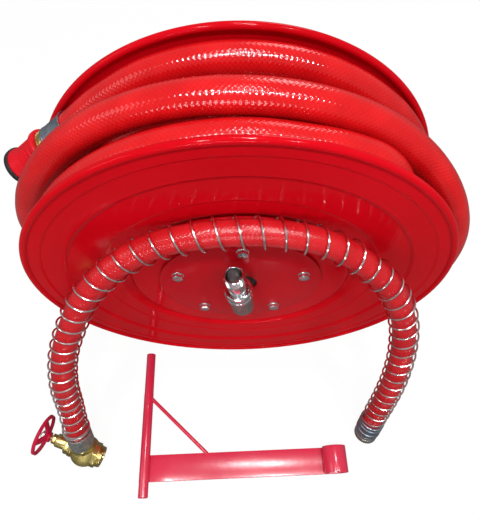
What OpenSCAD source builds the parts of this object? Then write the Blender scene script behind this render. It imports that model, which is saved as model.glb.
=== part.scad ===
// Swinging fire hose reel, set down on its two side discs, with its wall
// bracket laid flat on the floor and its armoured inlet hose leaning on the
// front disc. Units are millimetres. +X runs to the right, +Y from the front
// disc to the back disc and +Z up. The floor is z = 0.

/* [Discs] */
// Outer diameter of the side discs
disc_d = 550; // [520:1:640]
// Distance over the rims of the two discs
drum_width = 165; // [165:1:200]
// Thickness of the pressed sheet
sheet_t = 1.6; // [1.2:0.1:2.5]
// Diameter of the rolled bead on the rim
bead_d = 9; // [7:0.5:11]
// Depth of the outer annulus behind the rim plane
rim_depth = 3; // [2:0.5:4]
// Depth of the flat centre behind the rim plane
dish_depth = 6; // [5:0.5:7]
// Radius of the step between annulus and centre
step_r = 222; // [215:1:230]
// Radius of the pressed stiffening groove
groove_r = 150; // [146:1:156]
// Depth of the stiffening groove below the centre
groove_depth = 7; // [4:0.5:8]

/* [Drum and hub] */
// Outer radius of the drum barrel
barrel_r = 118; // [114:1:124]
// Wall of the barrel tube
barrel_wall = 2; // [1.5:0.5:3]
// Thickness of the barrel's end plates
end_plate_t = 3; // [2:0.5:5]
// Radius of the hub plates
hub_plate_r = 108; // [102:1:112]
// Thickness of the hub plates
hub_plate_t = 4; // [3:0.5:6]
// Number of bolts in each hub plate
bolt_count = 5; // [4:1:8]
// Radius of the bolt circle
bolt_circle_r = 86; // [80:1:92]
// Shank diameter of the hub bolts
bolt_d = 8; // [6:1:10]
// Outer radius of the bearing housing
housing_r = 34; // [32:1:40]
// Bore radius of the bearing housing
housing_bore_r = 23; // [22:0.5:25]
// Depth of the bearing housing behind the front disc
housing_len = 50; // [45:1:56]
// Radius of the mouth in the front hub plate
hub_mouth_r = 21.5; // [19:0.5:22]

/* [Waterway] */
// Radius of the fixed waterway shaft
shaft_r = 16; // [15:0.5:17]
// Bore radius of the waterway shaft
shaft_bore_r = 9.5; // [8:0.5:10]
// Radial clearance of the shaft in its bush and outlet sleeve
running_fit = 0.05; // [0.02:0.01:0.1]
// Outer radius of the outlet sleeve
sleeve_r = 27; // [25:0.5:30]
// Length of the outlet sleeve
sleeve_len = 50; // [46:1:54]
// Radius of the outlet pipe
outlet_r = 13; // [12:0.5:14]
// Bore radius of the outlet pipe
outlet_bore_r = 9; // [7:0.5:10]

/* [Inlet spindle] */
// Lean of the spindle to the left of vertical
spindle_lean = 7; // [0:1:15]
// Distance of the spindle axis in front of the rim plane
spindle_reach = 21; // [19:1:26]
// Outer radius of the spindle body
spindle_body_r = 15.5; // [15:0.5:18]
// Length of the spindle body below the hub axis
body_below = 23; // [20:1:30]
// Length of the spindle body above the hub axis
body_above = 16; // [16:1:24]
// Outer radius of the spindle collar
collar_r = 18.2; // [17:0.1:22]
// Height of the spindle collar
collar_h = 19; // [12:1:26]
// Height of the spindle pipe above the collar
pipe_above = 36; // [28:1:60]
// Outer radius of the spindle pipe
pipe_r = 13.2; // [12:0.1:13.6]
// Bore radius of the spindle pipe
pipe_bore_r = 9.8; // [8:0.1:10.4]

/* [Reel hose] */
// Outer diameter of the hose on the drum
reel_hose_d = 37; // [34:0.5:38]
// Radius of the outer turns, to the middle of the hose
turn_r = 247; // [244:1:249]

/* [Nozzle] */
// Turn angle at which the hose leaves the drum for the nozzle
nozzle_turn = -37.5; // [-40:0.5:-35]
// Straight run of the hose to its end in the nozzle
nozzle_run = 89; // [60:1:92]
// Slope of the nozzle towards the front disc
nozzle_slope = 0.08; // [0.08:0.01:0.1]
// Outer radius of the crimped ferrule
ferrule_r = 21; // [20:0.5:22]
// Length of the crimped ferrule
ferrule_len = 37; // [30:1:40]
// Length of the nozzle body
nozzle_body_len = 42; // [38:1:46]
// Outer radius of the nozzle body
nozzle_body_r = 22; // [20:0.5:24]
// Length of the nozzle sleeve
nozzle_sleeve_len = 41; // [36:1:44]
// Outer radius of the nozzle bell
bell_r = 26.5; // [26:0.5:27]

/* [Inlet hose and spring] */
// Outer diameter of the inlet hose
inlet_hose_d = 30; // [28:0.5:30]
// Diameter of the spring wire
wire_d = 2.5; // [2:0.1:2.6]
// Radius of the spring, to the middle of its wire
spring_r = 18.1; // [18.1:0.1:18.4]
// Open turns in the spring
spring_turns = 50; // [40:1:60]
// Closed turns at the valve end of the spring
closed_turns = 1.5; // [1:0.5:3]
// Outer radius of the hose ferrules
hose_ferrule_r = 19.5; // [18.5:0.5:20]
// Length of the hose ferrules
hose_ferrule_len = 31; // [28:1:36]

/* [Valve] */
// Radius of the valve's round belly
belly_r = 24; // [23:0.5:25]
// Radius of the valve's water passages
valve_bore_r = 10; // [8:0.5:11]
// Outer radius of the valve's inlet end
valve_inlet_r = 16.6; // [16:0.1:17.2]
// Distance of the inlet face from the branch
valve_inlet_len = 30; // [29:1:40]
// Distance of the branch face from the stem axis
branch_len = 21; // [21:1:30]
// Distance of the bonnet seat from the branch
bonnet_at = 25; // [25:1:30]
// Length of the bonnet's neck
neck_len = 17; // [15:1:24]
// Radius of the bonnet's neck
neck_r = 10.5; // [10:0.5:13]
// Radius of the valve stem
stem_r = 3.5; // [3:0.25:4]
// Travel of the valve disc from shut to open
valve_lift = 9; // [6:0.5:9]
// Handwheel diameter
wheel_d = 66; // [60:1:70]
// Number of spokes in the handwheel
spoke_count = 5; // [3:1:6]

/* [Coupling] */
// Outer radius of the coupling nut
nut_r = 18.5; // [18:0.5:19]
// Length of the coupling nut
nut_len = 18; // [16:1:22]
// Radius of the nut's threaded bore
nut_bore_r = 13.3; // [13:0.1:13.6]

/* [Bracket] */
// Diameter of the pivot bar
pivot_d = 16; // [14:1:20]
// Length of the pivot bar
pivot_len = 233; // [220:1:260]
// Pivot bar end past the middle of the arm
pivot_tail = 43; // [30:1:60]
// Diameter of the turned pins at the pivot bar's ends
pivot_pin_d = 15.5; // [12:0.5:16]
// Length of the far pin
far_pin_len = 70; // [20:1:74]
// Width of the bracket arm
arm_w = 40; // [30:1:45]
// Thickness of the bracket arm
arm_t = 5; // [4:0.5:6]
// Distance from the pivot bar's axis to the eye's axis
arm_reach = 309; // [280:1:315]
// Bore radius of the eye
eye_bore_r = 13.8; // [13.5:0.1:15]
// Diameter of the brace rod
brace_d = 6; // [5:0.5:8]
// Distance of the brace's foot along the pivot bar
brace_on_bar = 116; // [90:1:120]
// Distance of the brace's end along the arm
brace_on_arm = 100; // [80:1:110]
// Turn of the bracket on the floor
bracket_turn = 1; // [0:0.5:2]

/* [Hidden] */
$fn = 96;

// The origin is on the floor, in the middle of the reel and its bracket.
origin_x = -0.9;
origin_y = -35.1;

red = [0.80, 0.06, 0.08];
hose_red = [0.84, 0.10, 0.10];
bracket_red = [0.84, 0.16, 0.26];
wheel_red = [0.72, 0.12, 0.22];
zinc = [0.62, 0.65, 0.68];
chrome = [0.86, 0.87, 0.90];
steel = [0.55, 0.56, 0.58];
brass = [0.78, 0.66, 0.28];
black = [0.07, 0.07, 0.08];

// Gap left between two pieces that move or that are soft
gap = 0.3;
disc_r = disc_d / 2;
bead_r = bead_d / 2;
centre_back = dish_depth + sheet_t;
barrel_front = centre_back;
barrel_back = drum_width - centre_back;
hub_face = dish_depth - hub_plate_t;
sleeve_front = centre_back + housing_len;
sleeve_back = sleeve_front + sleeve_len;
outlet_y = sleeve_front + sleeve_len / 2;

function unit(v) = v / norm(v);

// Puts the hub axis, along +Z of its children, on the drum's place.
module on_hub() {
    translate([-origin_x, -origin_y, disc_r]) rotate([-90, 0, 0]) children();
}

// Puts children given in the reel's own axes in the part's frame.
module placed() {
    translate([-origin_x, -origin_y, 0]) children();
}

// Turns +Z of its children to run along d from the point p.
module along(p, d) {
    translate(p) rotate([0, acos(d.z / norm(d)), atan2(d.y, d.x)]) children();
}

// ---- Swept tubes ----

// Outward-facing triangles of a tube with a number of rings and sides.
function tube_faces(rings, sides) = concat(
    [for (k = [1 : sides - 2]) [0, k, k + 1]],
    [for (i = [0 : rings - 2], k = [0 : sides - 1], half = [0, 1])
        let (a = i * sides + k, b = i * sides + (k + 1) % sides)
        half == 0 ? [a, a + sides, b] : [b, a + sides, b + sides]],
    [for (k = [1 : sides - 2])
        let (e = (rings - 1) * sides) [e, e + k + 1, e + k]]);

function path_dir(p, i) = unit(
    i == 0 ? p[1] - p[0]
    : i == len(p) - 1 ? p[i] - p[i - 1]
    : unit(p[i + 1] - p[i]) + unit(p[i] - p[i - 1]));

// One ring of a tube round the point c, with its axis along d.
function ring(c, d, r, sides) =
    let (u = unit(cross(d, [0, 1, 0])), v = cross(u, d))
    [for (k = [0 : sides - 1])
        let (a = (k + 0.5) * 360 / sides) c + r * (cos(a) * u + sin(a) * v)];

module tube(path, r, sides) {
    pts = [for (i = [0 : len(path) - 1]) each ring(path[i], path_dir(path, i), r, sides)];
    polyhedron(pts, tube_faces(len(path), sides), 10);
}

// ---- Side discs ----

// Half section of a pressed disc, as radius and depth behind the rim plane.
module disc_section(hole_r) {
    slope = 3;
    low = dish_depth + groove_depth;
    face = [
        [hole_r, dish_depth],
        [groove_r - 2.5 * slope, dish_depth],
        [groove_r - slope, low],
        [groove_r + slope, low],
        [groove_r + 2.5 * slope, dish_depth],
        [step_r - slope / 2, dish_depth],
        [step_r + slope / 2, rim_depth],
        [disc_r - bead_r, rim_depth]];
    last = len(face) - 1;
    polygon(concat(face, [for (i = [last : -1 : 0]) face[i] + [0, sheet_t]]));
    translate([disc_r - bead_r, bead_r]) circle(bead_r);
}

module bolt_holes(r, from, to) {
    for (i = [0 : bolt_count - 1])
        rotate([0, 0, i * 360 / bolt_count - 88])
            translate([bolt_circle_r, 0, from]) cylinder(r = r, h = to - from);
}

bolt_hole_r = bolt_d / 2 + 0.5;

module pressed_disc(hole_r) {
    difference() {
        rotate_extrude() disc_section(hole_r);
        bolt_holes(bolt_hole_r, 0, centre_back + 1);
    }
}

module front_disc() {
    color(red) on_hub() pressed_disc(housing_r + 1);
}

module back_disc() {
    color(red) on_hub()
        translate([0, 0, drum_width]) mirror([0, 0, 1]) pressed_disc(housing_r + 1);
}

// ---- Drum barrel and hub plates ----

module barrel_plate() {
    difference() {
        cylinder(r = barrel_r - barrel_wall, h = end_plate_t);
        translate([0, 0, -1]) cylinder(r = housing_r + 1, h = end_plate_t + 2);
        bolt_holes(bolt_hole_r, -1, end_plate_t + 1);
    }
}

module drum_barrel() {
    color(red) on_hub() difference() {
        union() {
            difference() {
                translate([0, 0, barrel_front]) cylinder(r = barrel_r, h = barrel_back - barrel_front);
                translate([0, 0, barrel_front - 1])
                    cylinder(r = barrel_r - barrel_wall, h = barrel_back - barrel_front + 2);
            }
            translate([0, 0, barrel_front]) barrel_plate();
            translate([0, 0, barrel_back]) mirror([0, 0, 1]) barrel_plate();
        }
        translate([0, 0, outlet_y]) rotate([0, 90, 0]) cylinder(r = outlet_r + 0.2, h = barrel_r + 1);
    }
}

module front_hub() {
    lip = 2.5;
    color(red) on_hub() difference() {
        rotate_extrude() polygon([
            [hub_mouth_r, hub_face], [hub_plate_r, hub_face], [hub_plate_r, dish_depth],
            [housing_r, dish_depth], [housing_r, sleeve_front], [housing_bore_r, sleeve_front],
            [housing_bore_r, hub_face + lip], [hub_mouth_r, hub_face + lip]]);
        bolt_holes(bolt_hole_r, hub_face - 1, dish_depth + 1);
    }
}

module back_hub() {
    plate_y = drum_width - dish_depth;
    boss_h = 10;
    color(red) on_hub() difference() {
        union() {
            translate([0, 0, plate_y]) cylinder(r = hub_plate_r, h = hub_plate_t);
            translate([0, 0, plate_y - boss_h]) cylinder(r = housing_r, h = boss_h);
        }
        translate([0, 0, plate_y - boss_h - 1]) cylinder(r = housing_bore_r, h = boss_h);
        bolt_holes(bolt_hole_r, plate_y - 1, plate_y + hub_plate_t + 1);
    }
}

// ---- Hub bolts and nuts ----

washer_t = 1.6;
head_h = 5.3;
head_r = 7.5;
nut_h = 6.5;
bolt_grip = hub_plate_t + sheet_t + end_plate_t + nut_h + 2 * washer_t + 2;

module hex_bolts() {
    bolt_holes(bolt_d, hub_face - washer_t, hub_face);
    bolt_holes(bolt_d / 2, hub_face - washer_t - 1, hub_face - washer_t + bolt_grip);
    for (i = [0 : bolt_count - 1])
        rotate([0, 0, i * 360 / bolt_count - 88])
            translate([bolt_circle_r, 0, hub_face - washer_t - head_h])
                cylinder(r = head_r, h = head_h, $fn = 6);
}

module hex_nuts() {
    seat = barrel_front + end_plate_t;
    for (i = [0 : bolt_count - 1])
        rotate([0, 0, i * 360 / bolt_count - 88]) translate([bolt_circle_r, 0, seat])
            difference() {
                union() {
                    cylinder(r = bolt_d, h = washer_t);
                    translate([0, 0, washer_t]) cylinder(r = head_r, h = nut_h, $fn = 6);
                }
                translate([0, 0, -1]) cylinder(r = bolt_d / 2 + running_fit, h = nut_h + washer_t + 2);
            }
}

module at_back() {
    translate([0, 0, drum_width]) mirror([0, 0, 1]) children();
}

module front_bolts() { color(chrome) on_hub() hex_bolts(); }
module front_nuts() { color(zinc) on_hub() hex_nuts(); }
module back_bolts() { color(chrome) on_hub() at_back() hex_bolts(); }
module back_nuts() { color(zinc) on_hub() at_back() hex_nuts(); }

// ---- Bearing, seals and waterway ----

seal_front = hub_face + 2.5;
seal_w = 5;
bush_front = seal_front + seal_w;

module hollow(r_out, r_in, from, to) {
    difference() {
        translate([0, 0, from]) cylinder(r = r_out, h = to - from);
        translate([0, 0, from - 1]) cylinder(r = r_in, h = to - from + 2);
    }
}

module hub_bush() {
    color(brass) on_hub() hollow(housing_bore_r, shaft_r + running_fit, bush_front, sleeve_front);
}

module dust_seal() {
    color(black) on_hub() hollow(housing_bore_r, shaft_r + gap, seal_front, bush_front);
}

o_ring_r = 1.5;
groove_at = [sleeve_front + 8, sleeve_back - 8];
ring_groove_y = sleeve_back + 2;
ring_t = 1.6;
shaft_end = ring_groove_y + ring_t + 3;

shaft_in_body = 1.5;
shaft_from = spindle_body_r - spindle_reach - shaft_in_body;

module waterway_shaft() {
    port_r = 7;
    color(steel) on_hub() difference() {
        translate([0, 0, shaft_from]) cylinder(r = shaft_r, h = shaft_end - shaft_from);
        translate([0, 0, -spindle_reach])
            cylinder(r = shaft_bore_r, h = outlet_y + port_r + 2 + spindle_reach);
        for (a = [0, 90]) translate([0, 0, outlet_y]) rotate([0, 90, a])
            cylinder(r = port_r, h = 2 * shaft_r + 2, center = true);
        for (y = groove_at) rotate_extrude() translate([shaft_r, y]) circle(o_ring_r + 0.1, $fn = 24);
        hollow(shaft_r + 1, shaft_r - 1.5, ring_groove_y, ring_groove_y + ring_t + 0.1);
    }
}

module shaft_o_rings() {
    color(black) on_hub() for (y = groove_at)
        rotate_extrude() intersection() {
            translate([shaft_r, y]) circle(o_ring_r, $fn = 24);
            translate([0, y - 5]) square([shaft_r + running_fit, 10]);
        }
}

module thrust_washer() {
    color(brass) on_hub() hollow(sleeve_r - 4, shaft_r + 0.1, sleeve_back, ring_groove_y);
}

module retaining_ring() {
    opening = 5;
    color(steel) on_hub() difference() {
        hollow(shaft_r + 4, shaft_r - 1.4, ring_groove_y, ring_groove_y + ring_t);
        translate([0, -opening / 2, ring_groove_y - 1]) cube([shaft_r + 6, opening, ring_t + 2]);
    }
}

module outlet_sleeve() {
    cavity_r = shaft_r + 3;
    cavity = 14;
    boss_end = sleeve_r + 8;
    color(brass) on_hub() difference() {
        union() {
            hollow(sleeve_r, shaft_r + running_fit, sleeve_front, sleeve_back);
            translate([0, 0, outlet_y]) rotate([0, 90, 0]) cylinder(r = outlet_r + 5, h = boss_end);
        }
        translate([0, 0, sleeve_front - 1]) cylinder(r = shaft_r + running_fit, h = sleeve_len + 2);
        translate([0, 0, outlet_y - cavity / 2]) cylinder(r = cavity_r, h = cavity);
        translate([0, 0, outlet_y]) rotate([0, 90, 0]) cylinder(r = outlet_bore_r, h = boss_end + 1);
        translate([sleeve_r, 0, outlet_y]) rotate([0, 90, 0]) cylinder(r = outlet_r, h = boss_end);
    }
}

core_in = barrel_r + gap;
tail_in_core = 24;

module outlet_pipe() {
    color(zinc) on_hub() translate([0, 0, outlet_y]) rotate([0, 90, 0])
        hollow(outlet_r, outlet_bore_r, sleeve_r, core_in + tail_in_core);
}

module outlet_union() {
    union_at = sleeve_r + 8;
    color(brass) on_hub() translate([0, 0, outlet_y]) rotate([0, 90, 0]) difference() {
        translate([0, 0, union_at]) cylinder(r = outlet_r + 6, h = 16, $fn = 6);
        translate([0, 0, union_at - 1]) cylinder(r = outlet_r, h = 18);
    }
}

// ---- Inlet spindle ----

module on_spindle() {
    on_hub() translate([0, 0, -spindle_reach]) rotate([90, 0, 0]) rotate([0, -spindle_lean, 0])
        children();
}

module spindle_body() {
    chamfer = 2;
    floor_t = 8;
    color(steel) difference() {
        on_spindle() union() {
            translate([0, 0, -body_below + chamfer])
                cylinder(r = spindle_body_r, h = body_below + body_above - chamfer);
            translate([0, 0, -body_below])
                cylinder(r1 = spindle_body_r - chamfer, r2 = spindle_body_r, h = chamfer);
        }
        on_spindle() translate([0, 0, -body_below + floor_t])
            cylinder(r = pipe_bore_r, h = body_below + body_above);
        on_hub() translate([0, 0, -spindle_reach]) cylinder(r = shaft_bore_r, h = spindle_reach);
        on_hub() translate([0, 0, shaft_from]) cylinder(r = shaft_r, h = spindle_reach);
    }
}

pipe_seat_r = pipe_r - 0.4;
collar_top = body_above + collar_h;

module spindle_collar() {
    color(chrome) on_spindle() hollow(collar_r, pipe_seat_r, body_above, collar_top);
}

module spindle_pipe() {
    color(chrome) on_spindle() {
        hollow(pipe_seat_r, pipe_bore_r, body_above, collar_top);
        hollow(pipe_r, pipe_bore_r, collar_top, collar_top + pipe_above);
    }
}

// ---- Hose on the drum ----

loop_rings = 24;
loop_sides = 6;
hose_half = reel_hose_d / 2;
chord_sag = turn_r * (1 - cos(180 / loop_rings));
core_r = turn_r - chord_sag - hose_half - 0.4;
core_side = dish_depth + groove_depth + sheet_t + 1;

// Height of the loose turn over the other turns, by turn angle clockwise
// from the top. It bulges past the rims at both sides of the reel.
turn_rise = [
    [-60, 0], [0, 0], [36, 1], [60, 6], [90, 8], [180, 8], [225, 18], [270, 38],
    [282, 34], [294, 27], [306, 22], [330, 19], [360, 20], [390, 20], [402, 22],
    [414, 26], [426, 29], [438, 33], [456, 34], [474, 30], [500, 20], [540, 8],
    [600, 2], [640, 1], [720, 4], [750, 4]];

// Place of the turns across the drum, by turn angle, as a share of the way
// from the turn nearest the front disc to the turn nearest the back disc.
turn_place = [
    [-60, 0.99], [0, 1], [90, 0.975], [180, 0.845], [225, 0.72], [270, 0.565],
    [282, 0.53], [294, 0.48], [306, 0.445], [330, 0.385], [360, 0.315], [396, 0.305],
    [408, 0.245], [420, 0.175], [432, 0.14], [450, 0.115], [540, 0.045], [630, 0.01],
    [720, 0], [750, 0]];
side_turn_y = dish_depth + reel_hose_d / 2 + 0.5;

last_turn = 737.5;

function turn_point(a) =
    let (r = turn_r + lookup(a, turn_rise))
    [r * sin(a), side_turn_y + (drum_width - 2 * side_turn_y) * lookup(a, turn_place), disc_r + r * cos(a)];

leave = turn_point(nozzle_turn);
nozzle_dir = unit([-cos(nozzle_turn), -nozzle_slope, sin(nozzle_turn)]);
hose_end = leave + nozzle_run * nozzle_dir;
inner_end = turn_point(last_turn) + reel_hose_d * [cos(last_turn), 0, -sin(last_turn)];
turn_step = (last_turn - nozzle_turn) / round((last_turn - nozzle_turn) * loop_rings / 360);
reel_path = concat(
    [hose_end, hose_end - reel_hose_d * nozzle_dir],
    [for (a = [nozzle_turn : turn_step : last_turn + 0.01]) turn_point(a)],
    [inner_end]);

// Least gap of the winding to itself, between points over half a turn apart.
half_loop = loop_rings / 2;
reel_gap = min([for (i = [0 : len(reel_path) - 1], j = [i + half_loop : 1 : len(reel_path) - 1])
    norm(reel_path[i] - reel_path[j])]) - reel_hose_d;
echo(least_gap_of_winding = reel_gap);

module reel_hose() {
    color(hose_red) placed() tube(reel_path, hose_half, loop_sides);
}

// The inner layers of the hose, with the run that dives under the last turn.
module hose_core() {
    dive_r = 90;
    dive_angle = 80;
    end_r = turn_r + lookup(last_turn, turn_rise);
    color(hose_red) on_hub() difference() {
        union() {
            hollow(core_r, core_in, core_side, drum_width - core_side);
            difference() {
                rotate([0, 0, last_turn - 90]) translate([end_r - dive_r, reel_hose_d, inner_end.y])
                    rotate_extrude(angle = dive_angle) translate([dive_r, 0]) circle(hose_half);
                cylinder(r = step_r + 3, h = core_side);
            }
        }
        translate([0, 0, outlet_y]) rotate([0, 90, 0])
            cylinder(r = outlet_r + 0.1, h = core_in + tail_in_core);
    }
}

// ---- Nozzle ----

module on_nozzle() {
    placed() along(hose_end, nozzle_dir) children();
}

tail_r = 15;
tail_bore_r = 10;
tail_in_body = 14;
ferrule_over = 5;
ring_h = 11;
body_from = ferrule_over + ring_h;
body_to = body_from + nozzle_body_len;
jet_r = 12;
jet_bore_r = 6;

module nozzle_ferrule() {
    color(zinc) on_nozzle() difference() {
        translate([0, 0, ferrule_over - ferrule_len]) cylinder(r = ferrule_r, h = ferrule_len);
        translate([0, 0, -ferrule_len]) cylinder(r = hose_half + 0.1, h = ferrule_len);
        translate([0, 0, -1]) cylinder(r = tail_r, h = ferrule_over + 2);
    }
}

module nozzle_tail() {
    color(brass) on_nozzle() difference() {
        union() {
            cylinder(r = tail_r, h = body_from + tail_in_body);
            translate([0, 0, ferrule_over]) cylinder(r = ferrule_r - 1, h = ring_h);
        }
        translate([0, 0, -1]) cylinder(r = tail_bore_r, h = body_from + tail_in_body + 2);
    }
}

sleeve_rest = 12;

spigot_r = nozzle_body_r - 3;

module nozzle_body() {
    collar_over = 2.7;
    nozzle_collar_h = 7;
    color(red) on_nozzle() difference() {
        translate([0, 0, body_from]) {
            cylinder(r = nozzle_body_r + collar_over, h = nozzle_collar_h);
            cylinder(r = nozzle_body_r, h = sleeve_rest);
            cylinder(r = spigot_r, h = nozzle_body_len);
        }
        translate([0, 0, body_from - 1]) cylinder(r = tail_r, h = tail_in_body + 1);
        translate([0, 0, body_from]) cylinder(r = jet_r, h = nozzle_body_len + 1);
    }
}

module nozzle_jet() {
    jet_len = 12;
    color(brass) on_nozzle() hollow(jet_r, jet_bore_r, body_to - jet_len, body_to);
}

sleeve_from = body_from + sleeve_rest + gap;
sleeve_to = sleeve_from + nozzle_sleeve_len;
sleeve_in = spigot_r + running_fit;
bell_t = 3;
bumper_over = 3;

bell_seat_r = bell_r - 2;

module nozzle_sleeve() {
    flare_from = 14;
    flare_to = 5;
    grip_from = 8;
    grip_pitch = 5;
    grip_w = 2;
    color(red) on_nozzle() difference() {
        rotate_extrude() polygon([
            [0, sleeve_from], [nozzle_body_r, sleeve_from], [nozzle_body_r, sleeve_to - flare_from],
            [bell_seat_r, sleeve_to - flare_to], [bell_seat_r, sleeve_to], [0, sleeve_to]]);
        translate([0, 0, sleeve_from - 1]) cylinder(r = sleeve_in, h = body_to - sleeve_from + 1.5);
        translate([0, 0, body_to])
            cylinder(r1 = sleeve_in - 4, r2 = bell_seat_r - bell_t, h = sleeve_to - body_to + 0.1);
        for (i = [0 : 3]) let (from = sleeve_from + grip_from + grip_pitch * i)
            hollow(nozzle_body_r + 1, nozzle_body_r - 1, from, from + grip_w);
    }
}

module nozzle_bumper() {
    back = sleeve_to - 4;
    lip = sleeve_to + bumper_over;
    inner = bell_seat_r - bell_t;
    color(black) on_nozzle() rotate_extrude() polygon([
        [bell_seat_r, back], [bell_r, back], [bell_r, lip - 1], [bell_r - 1, lip],
        [inner, lip], [inner, sleeve_to], [bell_seat_r, sleeve_to]]);
}

// ---- Inlet hose and its guard spring ----

// Directions of the hose and of the stem at the valve, and the valve's place
valve_at = [-257, -170, belly_r];
hose_up = unit([0.03, 0.33, 0.94]);
stem_out = unit([-0.925, 0.33, 0.16]);
tail_hex_h = 8;
hose_seat = branch_len + tail_hex_h + 4;

// Route of the inlet hose from the valve to the coupling.
route_start = valve_at + hose_seat * hose_up;
inlet_route = concat([route_start, route_start + 1.1 * inlet_hose_d * hose_up], [
    [-251, -124, 141], [-243, -107, 202], [-230, -84, 254], [-206, -62, 305],
    [-177, -42, 350], [-139, -27, 384], [-96, -16, 406.5], [-48, -12.2, 419],
    [2, -11.2, 423.5], [52, -13, 420], [101, -18, 404], [144, -29, 376],
    [181, -43, 337], [205, -61, 285], [216, -81, 228], [218, -101, 172],
    [215, -118, 118], [210.5, -132, 70], [206.5, -145, 27.5]]);

module inlet_hose() {
    color(hose_red) placed() tube(inlet_route, inlet_hose_d / 2, 12);
}

// Length along the route up to each of its points, and the point at s.
route_len = [for (i = 0, s = 0; i < len(inlet_route);
    s = s + (i < len(inlet_route) - 1 ? norm(inlet_route[i + 1] - inlet_route[i]) : 0), i = i + 1) s];
route_total = route_len[len(route_len) - 1];
route_index = [for (i = [0 : len(route_len) - 1]) [route_len[i], i]];

function route_point(s) =
    let (x = lookup(s, route_index), i = min(floor(x), len(inlet_route) - 2), f = x - i)
    inlet_route[i] * (1 - f) + inlet_route[i + 1] * f;
function route_dir(s) =
    let (x = lookup(s, route_index), i = min(floor(x), len(inlet_route) - 2), f = x - i)
    unit(path_dir(inlet_route, i) * (1 - f) + path_dir(inlet_route, i + 1) * f);

spring_from = hose_ferrule_len + 7;
spring_to = route_total - hose_ferrule_len - 3;
closed_pitch = wire_d + 0.6;
open_from = spring_from + closed_turns * closed_pitch;
all_turns = spring_turns + closed_turns;

// Place along the hose of the spring's wire after n turns. The pitch is
// widest over the top of the arch, where the bend opens the turns.
function wire_at(n) =
    n <= closed_turns ? spring_from + n * closed_pitch
    : let (f = (n - closed_turns) / spring_turns)
      open_from + (spring_to - open_from) * (f - 0.02 * sin(360 * f));

function wire_point(n) =
    let (s = wire_at(n), d = route_dir(s), u = unit(cross(d, [0, 1, 0])), v = cross(u, d),
        flare = max(0, 2 - n) * 0.8)
    route_point(s) + (spring_r + flare) * (cos(360 * n) * u - sin(360 * n) * v);

wire_rings = 8;
wire_sides = 6;
wire_path = [for (i = [0 : all_turns * wire_rings]) wire_point(i / wire_rings)];

// Least gap of the spring's wire to itself, between points a turn or so apart.
wire_gap = min([for (i = [0 : len(wire_path) - 1], j = [i + 4 : 1 : min(i + 20, len(wire_path) - 1)])
    norm(wire_path[i] - wire_path[j])]) - wire_d;
echo(least_gap_of_spring = wire_gap, length_of_inlet_hose = route_total);

// One ring of wire, with its first side turned away from the hose.
function wire_ring(i) =
    let (n = i / wire_rings, t = path_dir(wire_path, i),
        away = unit(wire_path[i] - route_point(wire_at(n))),
        b = unit(cross(t, away)), a = cross(b, t))
    [for (k = [0 : wire_sides - 1]) let (g = (k + 0.5) * 360 / wire_sides)
        wire_path[i] + wire_d / 2 * (cos(g) * a - sin(g) * b)];

module guard_spring() {
    pts = [for (i = [0 : len(wire_path) - 1]) each wire_ring(i)];
    color(chrome) placed() polyhedron(pts, tube_faces(len(wire_path), wire_sides), 10);
}

// ---- Valve ----

// The valve's axes: -X runs out along the stem, and the branch to the hose
// leaves in the XZ plane, tilted from +Z towards the stem.
valve_x = -stem_out;
valve_z = unit(hose_up - (hose_up * valve_x) * valve_x);
valve_y = cross(valve_z, valve_x);
branch_tilt = asin(hose_up * stem_out);

module on_valve() {
    placed() multmatrix([
        [valve_x.x, valve_y.x, valve_z.x, valve_at.x],
        [valve_x.y, valve_y.y, valve_z.y, valve_at.y],
        [valve_x.z, valve_y.z, valve_z.z, valve_at.z],
        [0, 0, 0, 1]]) children();
}

module on_branch() {
    on_valve() rotate([0, -branch_tilt, 0]) children();
}

// Turns +Z of its children outwards along the stem.
module on_stem() {
    on_valve() rotate([0, -90, 0]) children();
}

seat_at = -2;
seat_r = 7.5;
disc_seal_r = 10.2;
washer_on_disc_t = 2;
valve_disc_t = 4;
chamber_r = 11.5;
chamber_wall = 3;
inlet_hex_r = 19.5;
inlet_hex_h = 10;
inlet_hex_at = 12;
branch_r = 17;

module valve_body() {
    color(brass) difference() {
        union() {
            on_valve() sphere(r = belly_r);
            on_stem() cylinder(r = chamber_r + chamber_wall, h = bonnet_at);
            on_stem() translate([0, 0, -inlet_hex_at - inlet_hex_h])
                cylinder(r = inlet_hex_r, h = inlet_hex_h, $fn = 8);
            on_stem() translate([0, 0, -valve_inlet_len]) cylinder(r = valve_inlet_r, h = valve_inlet_len);
            on_branch() cylinder(r = branch_r, h = branch_len);
        }
        on_stem() translate([0, 0, -valve_inlet_len - 1]) cylinder(r = valve_bore_r, h = valve_inlet_len);
        on_stem() translate([0, 0, seat_at - 5]) cylinder(r = seat_r, h = 8);
        on_stem() translate([0, 0, seat_at]) cylinder(r = chamber_r, h = bonnet_at - seat_at + 1);
        on_branch() translate([0, 0, 8]) cylinder(r = valve_bore_r, h = branch_len);
        on_branch() translate([0, 0, branch_len]) cylinder(r = belly_r, h = belly_r);
    }
}

hose_tail_r = 14;
tail_hex_r = 20.5;

module valve_tail() {
    color(brass) on_branch() difference() {
        union() {
            translate([0, 0, branch_len]) cylinder(r = tail_hex_r, h = tail_hex_h, $fn = 6);
            translate([0, 0, branch_len]) cylinder(r = hose_tail_r, h = hose_seat - branch_len);
        }
        translate([0, 0, branch_len - 1]) cylinder(r = valve_bore_r, h = 20);
    }
}

module valve_ferrule() {
    lip = branch_len + tail_hex_h;
    color(zinc) on_branch() difference() {
        translate([0, 0, lip]) cylinder(r = hose_ferrule_r, h = hose_ferrule_len);
        translate([0, 0, hose_seat]) cylinder(r = inlet_hose_d / 2 + 0.1, h = hose_ferrule_len);
        translate([0, 0, lip - 1]) cylinder(r = hose_tail_r, h = hose_ferrule_len);
    }
}

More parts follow.
